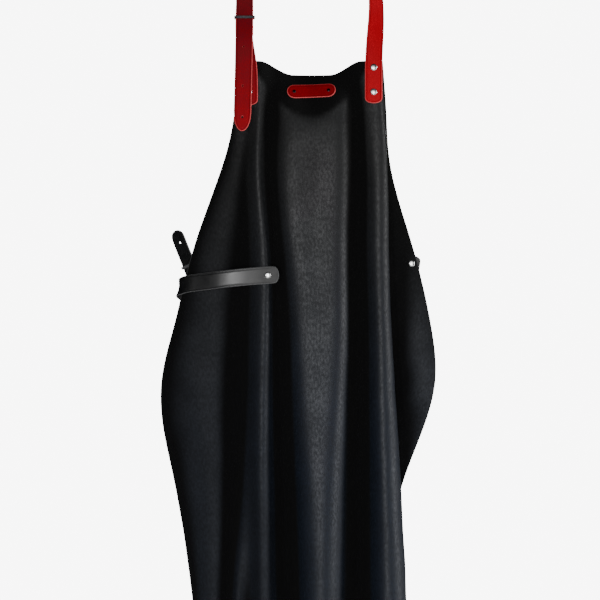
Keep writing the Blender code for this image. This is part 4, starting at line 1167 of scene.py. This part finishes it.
def make_waist(drape, black, dark):
    slope = WAIST_BUCKLE_SLOPE
    down = Vector((math.cos(slope), 0, -math.sin(slope)))
    side = Vector((math.sin(slope), 0, math.cos(slope)))
    frame = Matrix((side, FRONT, down)).transposed().to_4x4()
    frame.translation = at_drop(*WAIST_BUCKLE_BAR)
    make_buckle("waist", frame, dark)

    x, drop = WAIST_RIVET
    z = BIB_Z - drop
    rise = Vector((0.06, 0, 1))
    flat = []
    for across, low in ((x + 0.0158, 0.0008), (x, 0), (x - 0.0145, -0.0010), (-0.100, -0.0030),
                        (-0.135, -0.0068), (-0.165, -0.0105)):
        front, _ = drape.span([(across, z + low)], 0.0145, STRAP_WIDTH / 2)
        taut = STRAP_TAUT[0] + STRAP_TAUT[1] * max(0, x - across) ** 2
        flat.append(((across, min(front - 3 * TOUCH - STRAP_THICK / 2, taut), z + low), rise))
    edge = at_drop(*WAIST_EDGE)
    flat += [((edge.x + 0.0080, edge.y - 0.0085, z - 0.0135), Vector((0.1, 0, 1))),
             (edge, Vector((0.15, 0, 1))),
             ((edge.x + 0.0075, edge.y + 0.0105, z - 0.0260), Vector((0.45, 0, 1))),
             ((edge.x + 0.0265, edge.y + 0.0200, z - 0.0420), Vector((0.65, 0, 0.78)))]
    way = flat + folded_end(frame, 0.034, 0.022)
    belt = ribbon(way, start_round=BELT_ROUND, end_round=FOLDED_ROUND)
    front_strap = finish("waist_strap_riveted", belt, black, ["waist_strap_front"])
    slot = TONGUE_RADIUS + TOUCH
    punch(front_strap, frame.translation, FRONT, slot, BAR_SLOT, down)
    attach(front_strap, "apron")

    thread = threaded(frame, 0.040, 0.030, -0.0004)[::-1]
    level = thread[0][0].y
    near = thread[-1][0]
    tab_x, tab_drop = BILLET_RIVET
    tab_z = BIB_Z - tab_drop
    rear = drape.span([(tab_x, tab_z)], 0.006, STRAP_WIDTH / 2)[1]
    tab_y = rear + 3 * TOUCH + STRAP_THICK / 2
    upright = Vector((-1, 0, -0.15))
    loop_way = Vector((-0.37, 0, 0.93)).normalized()
    loop_across = twisted(loop_way, 1)
    loop_face = loop_way.cross(loop_across)
    route = [(at_drop(-0.1980, level, 0.241), loop_across),
             (at_drop(-0.1885, level, 0.266), loop_across),
             (at_drop(-0.1785, level, 0.291), loop_across),
             (at_drop(-0.1707, level, 0.3105), loop_across),
             (at_drop(-0.1600, level, 0.330), twisted(loop_way, 0.45)), *thread,
             (at_drop(-0.0700, near.y + 0.002, 0.450), Vector((0.85, 0, 0.60))),
             (at_drop(-0.0200, near.y + 0.003, 0.493), Vector((0.50, 0, 0.90))),
             (at_drop(0.0400, near.y, 0.497), Vector((0.05, 0, 1))),
             (at_drop(0.0950, near.y - 0.004, 0.455), Vector((-0.65, 0, 0.75))),
             (at_drop(0.1270, tab_y + 0.006, 0.390), Vector((-0.95, 0, 0.35))),
             (at_drop(tab_x - 0.003, tab_y, tab_drop + 0.020), upright),
             (at_drop(tab_x, tab_y, tab_drop), upright),
             (at_drop(tab_x + 0.002, tab_y, tab_drop - 0.012), upright)]
    wrap, low_point, last = 6, 14, len(route) - 1
    loose = ribbon(route, start_round=WAIST_TIP_ROUND, span=(0, wrap), grain=1)
    tail = finish("waist_strap_tip", loose, black, ["waist_tail"])
    punch(tail, at_drop(WAIST_HOLE[0], level, WAIST_HOLE[1]), loop_face, WAIST_HOLE_RADIUS)
    bend = thread[0][0] + HANG
    bend + down * 0.006
    bend - down * 0.008
    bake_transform(tail)
    slack_run = ribbon(route, span=(wrap, low_point), grain=1)
    middle = finish("waist_strap_billet", slack_run, black,
                    ["waist_billet_end", "waist_billet"])
    punch(middle, frame @ TONGUE_HOLE, FRONT, slot, TONGUE_SLOT, down)
    near + HANG - down * 0.004
    near + HANG + down * 0.030
    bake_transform(middle)
    far = route[-3][0] + HANG
    anchored = ribbon(route, end_round=RIVETED_ROUND, span=(low_point, last), grain=1)
    end = finish("waist_strap_anchor", anchored, black, ["waist_billet_tab"])
    far + Vector((0, 0, 0.002))
    far - Vector((0.010, 0, 0.030))
    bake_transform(end)

    loop = Matrix((loop_across, loop_face, loop_way)).transposed().to_4x4()
    loop.translation = at_drop(-0.1780, level, 0.2922)
    keeper = make_keeper("waist_strap_keeper", "waist_keeper", loop, 0, STRAP_THICK + TOUCH, black)
    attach(keeper, "waist_loop")

    silver = rivet_caps(drape, x, z, flat[1][0][1])
    front = drape.span([(tab_x, tab_z)], RIVET_CAP_RADIUS, RIVET_CAP_RADIUS)[0]
    silver += [(Vector((tab_x, front, tab_z)), FRONT, RIVET_CAP_RADIUS),
               (Vector((tab_x, tab_y + STRAP_THICK / 2, tab_z)), BACK, RIVET_CAP_RADIUS)]
    fold, facing = frame @ Vector((0, 0, -0.028)), frame.to_3x3() @ FRONT
    ply = STRAP_THICK + TOUCH / 2
    gun = [(fold + facing * ply, facing, FOLD_CAP_RADIUS), (fold - facing * ply, -facing, FOLD_CAP_RADIUS)]
    return silver, gun


# ---------------------------------------------------------------- camera, floor and light


def aimed(obj, at, target):
    obj.location = at
    obj.rotation_euler = (Vector(target) - Vector(at)).to_track_quat("-Z", "Y").to_euler()
    bpy.context.scene.collection.objects.link(obj)
    return obj


def panel_light(name, at, target, width, height, power, colour=(1, 1, 1)):
    light = bpy.data.lights.new(name, "AREA")
    light.shape = "RECTANGLE"
    light.size, light.size_y = width, height
    light.energy = power
    light.color = colour
    aimed(bpy.data.objects.new(name, light), at, target)


def make_stage():
    lens = bpy.data.cameras.new("camera")
    lens.lens = 109
    lens.clip_start = 0.05
    centre = Vector((-0.0057, -0.09, -0.758))
    camera = aimed(bpy.data.objects.new("camera", lens), centre + Vector((0, -2.6, 0)), centre)
    bpy.context.scene.camera = camera

    bm = bmesh.new()
    bmesh.ops.create_grid(bm, x_segments=2, y_segments=2, size=2.0)
    bmesh.ops.translate(bm, verts=bm.verts, vec=(0, 0, -1.62))
    mesh = bpy.data.meshes.new("floor")
    bm.to_mesh(mesh)
    bm.free()
    floor = bpy.data.objects.new("floor", mesh)
    pale = Look("pale floor", (0.80, 0.80, 0.80), 0.8)
    mesh.materials.append(pale.material)
    bpy.context.scene.collection.objects.link(floor)

    panel_light("key", (0.05, -3.1, -0.92), (0.05, -0.1, -0.92), 0.70, 1.45, 96)
    panel_light("left panel", (-1.05, -2.95, -0.69), (-0.1, -0.1, -0.72), 0.30, 0.40, 30)
    panel_light("right strip", (2.0, -0.4, -0.75), (0.1, -0.1, -0.8), 0.30, 1.8, 56)
    panel_light("back panel", (0.5, 3.0, 0.2), (0, -0.05, -0.7), 1.6, 1.6, 170)

    world = bpy.data.worlds.new("studio")
    bpy.context.scene.world = world
    world.use_nodes = True
    nodes, links = world.node_tree.nodes, world.node_tree.links
    seen = nodes["Background"]
    seen.inputs["Color"].default_value = (1, 1, 1, 1)
    seen.inputs["Strength"].default_value = 8.0
    around = nodes.new("ShaderNodeBackground")
    around.inputs["Color"].default_value = (0.9, 0.95, 1.0, 1)
    around.inputs["Strength"].default_value = 0.04
    path = nodes.new("ShaderNodeLightPath")
    either = nodes.new("ShaderNodeMixShader")
    links.new(path.outputs["Is Camera Ray"], either.inputs[0])
    links.new(around.outputs[0], either.inputs[1])
    links.new(seen.outputs[0], either.inputs[2])
    links.new(either.outputs[0], nodes["World Output"].inputs["Surface"])


def main():
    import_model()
    for leftover in [o for o in bpy.data.objects if o.type in ("CAMERA", "LIGHT") or o.name == "Cube"]:
        bpy.data.objects.remove(leftover)
    hide_look = make_hide_look()
    red = make_strap_look("red strap leather", (0.068, 0.0002, 0.0022), (0.285, 0.0003, 0.0050),
                          (0.42, 0.060, 0.060), 0.50, 0.030, 0.00004, red_shade)
    black = make_strap_look("black strap leather", (0.0012, 0.0012, 0.0014), (0.0030, 0.0030, 0.0034),
                            (0.045, 0.045, 0.047), 0.30, 0.40, 0.00001, dull=belt_dull)
    nickel = make_metal_look("polished nickel", (0.24, 0.24, 0.235), (0.42, 0.42, 0.42), 0.30, (1, 1, 1))
    dark = make_metal_look("gunmetal", (0.008, 0.008, 0.009), (0.024, 0.024, 0.026), 0.36, (1, 1, 1))
    steel = make_metal_look("satin hook steel", (0.33, 0.33, 0.34), (0.47, 0.47, 0.48), 0.36, (0.2, 1, 0.05))

    make_stage()
    make_hook(steel)
    hide = make_hide(hide_look)
    drape = Drape(hide)
    hide.data.transform(Matrix.Translation(HANG))
    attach(hide, "apron")
    nickel_caps = make_neck(drape, red, nickel, dark)
    dark_caps = make_label(drape, red)
    silver, gun = make_waist(drape, black, dark)
    cap, tree = cap_shape(), cap_tree()
    set_rivets("nickel_rivets", nickel_caps + silver, cap, tree, nickel,
               ["neck_rivet_right_1", "neck_rivet_right_2", "neck_rivet_left_1", "neck_rivet_left_2",
                "neck_fold_rivet", "waist_rivet", "waist_billet_rivet"])
    set_rivets("dark_rivets", dark_caps + gun, cap, tree, dark,
               ["label_rivet_left", "label_rivet_right", "waist_fold_rivet"])
    bpy.data.objects.remove(cap)


main()
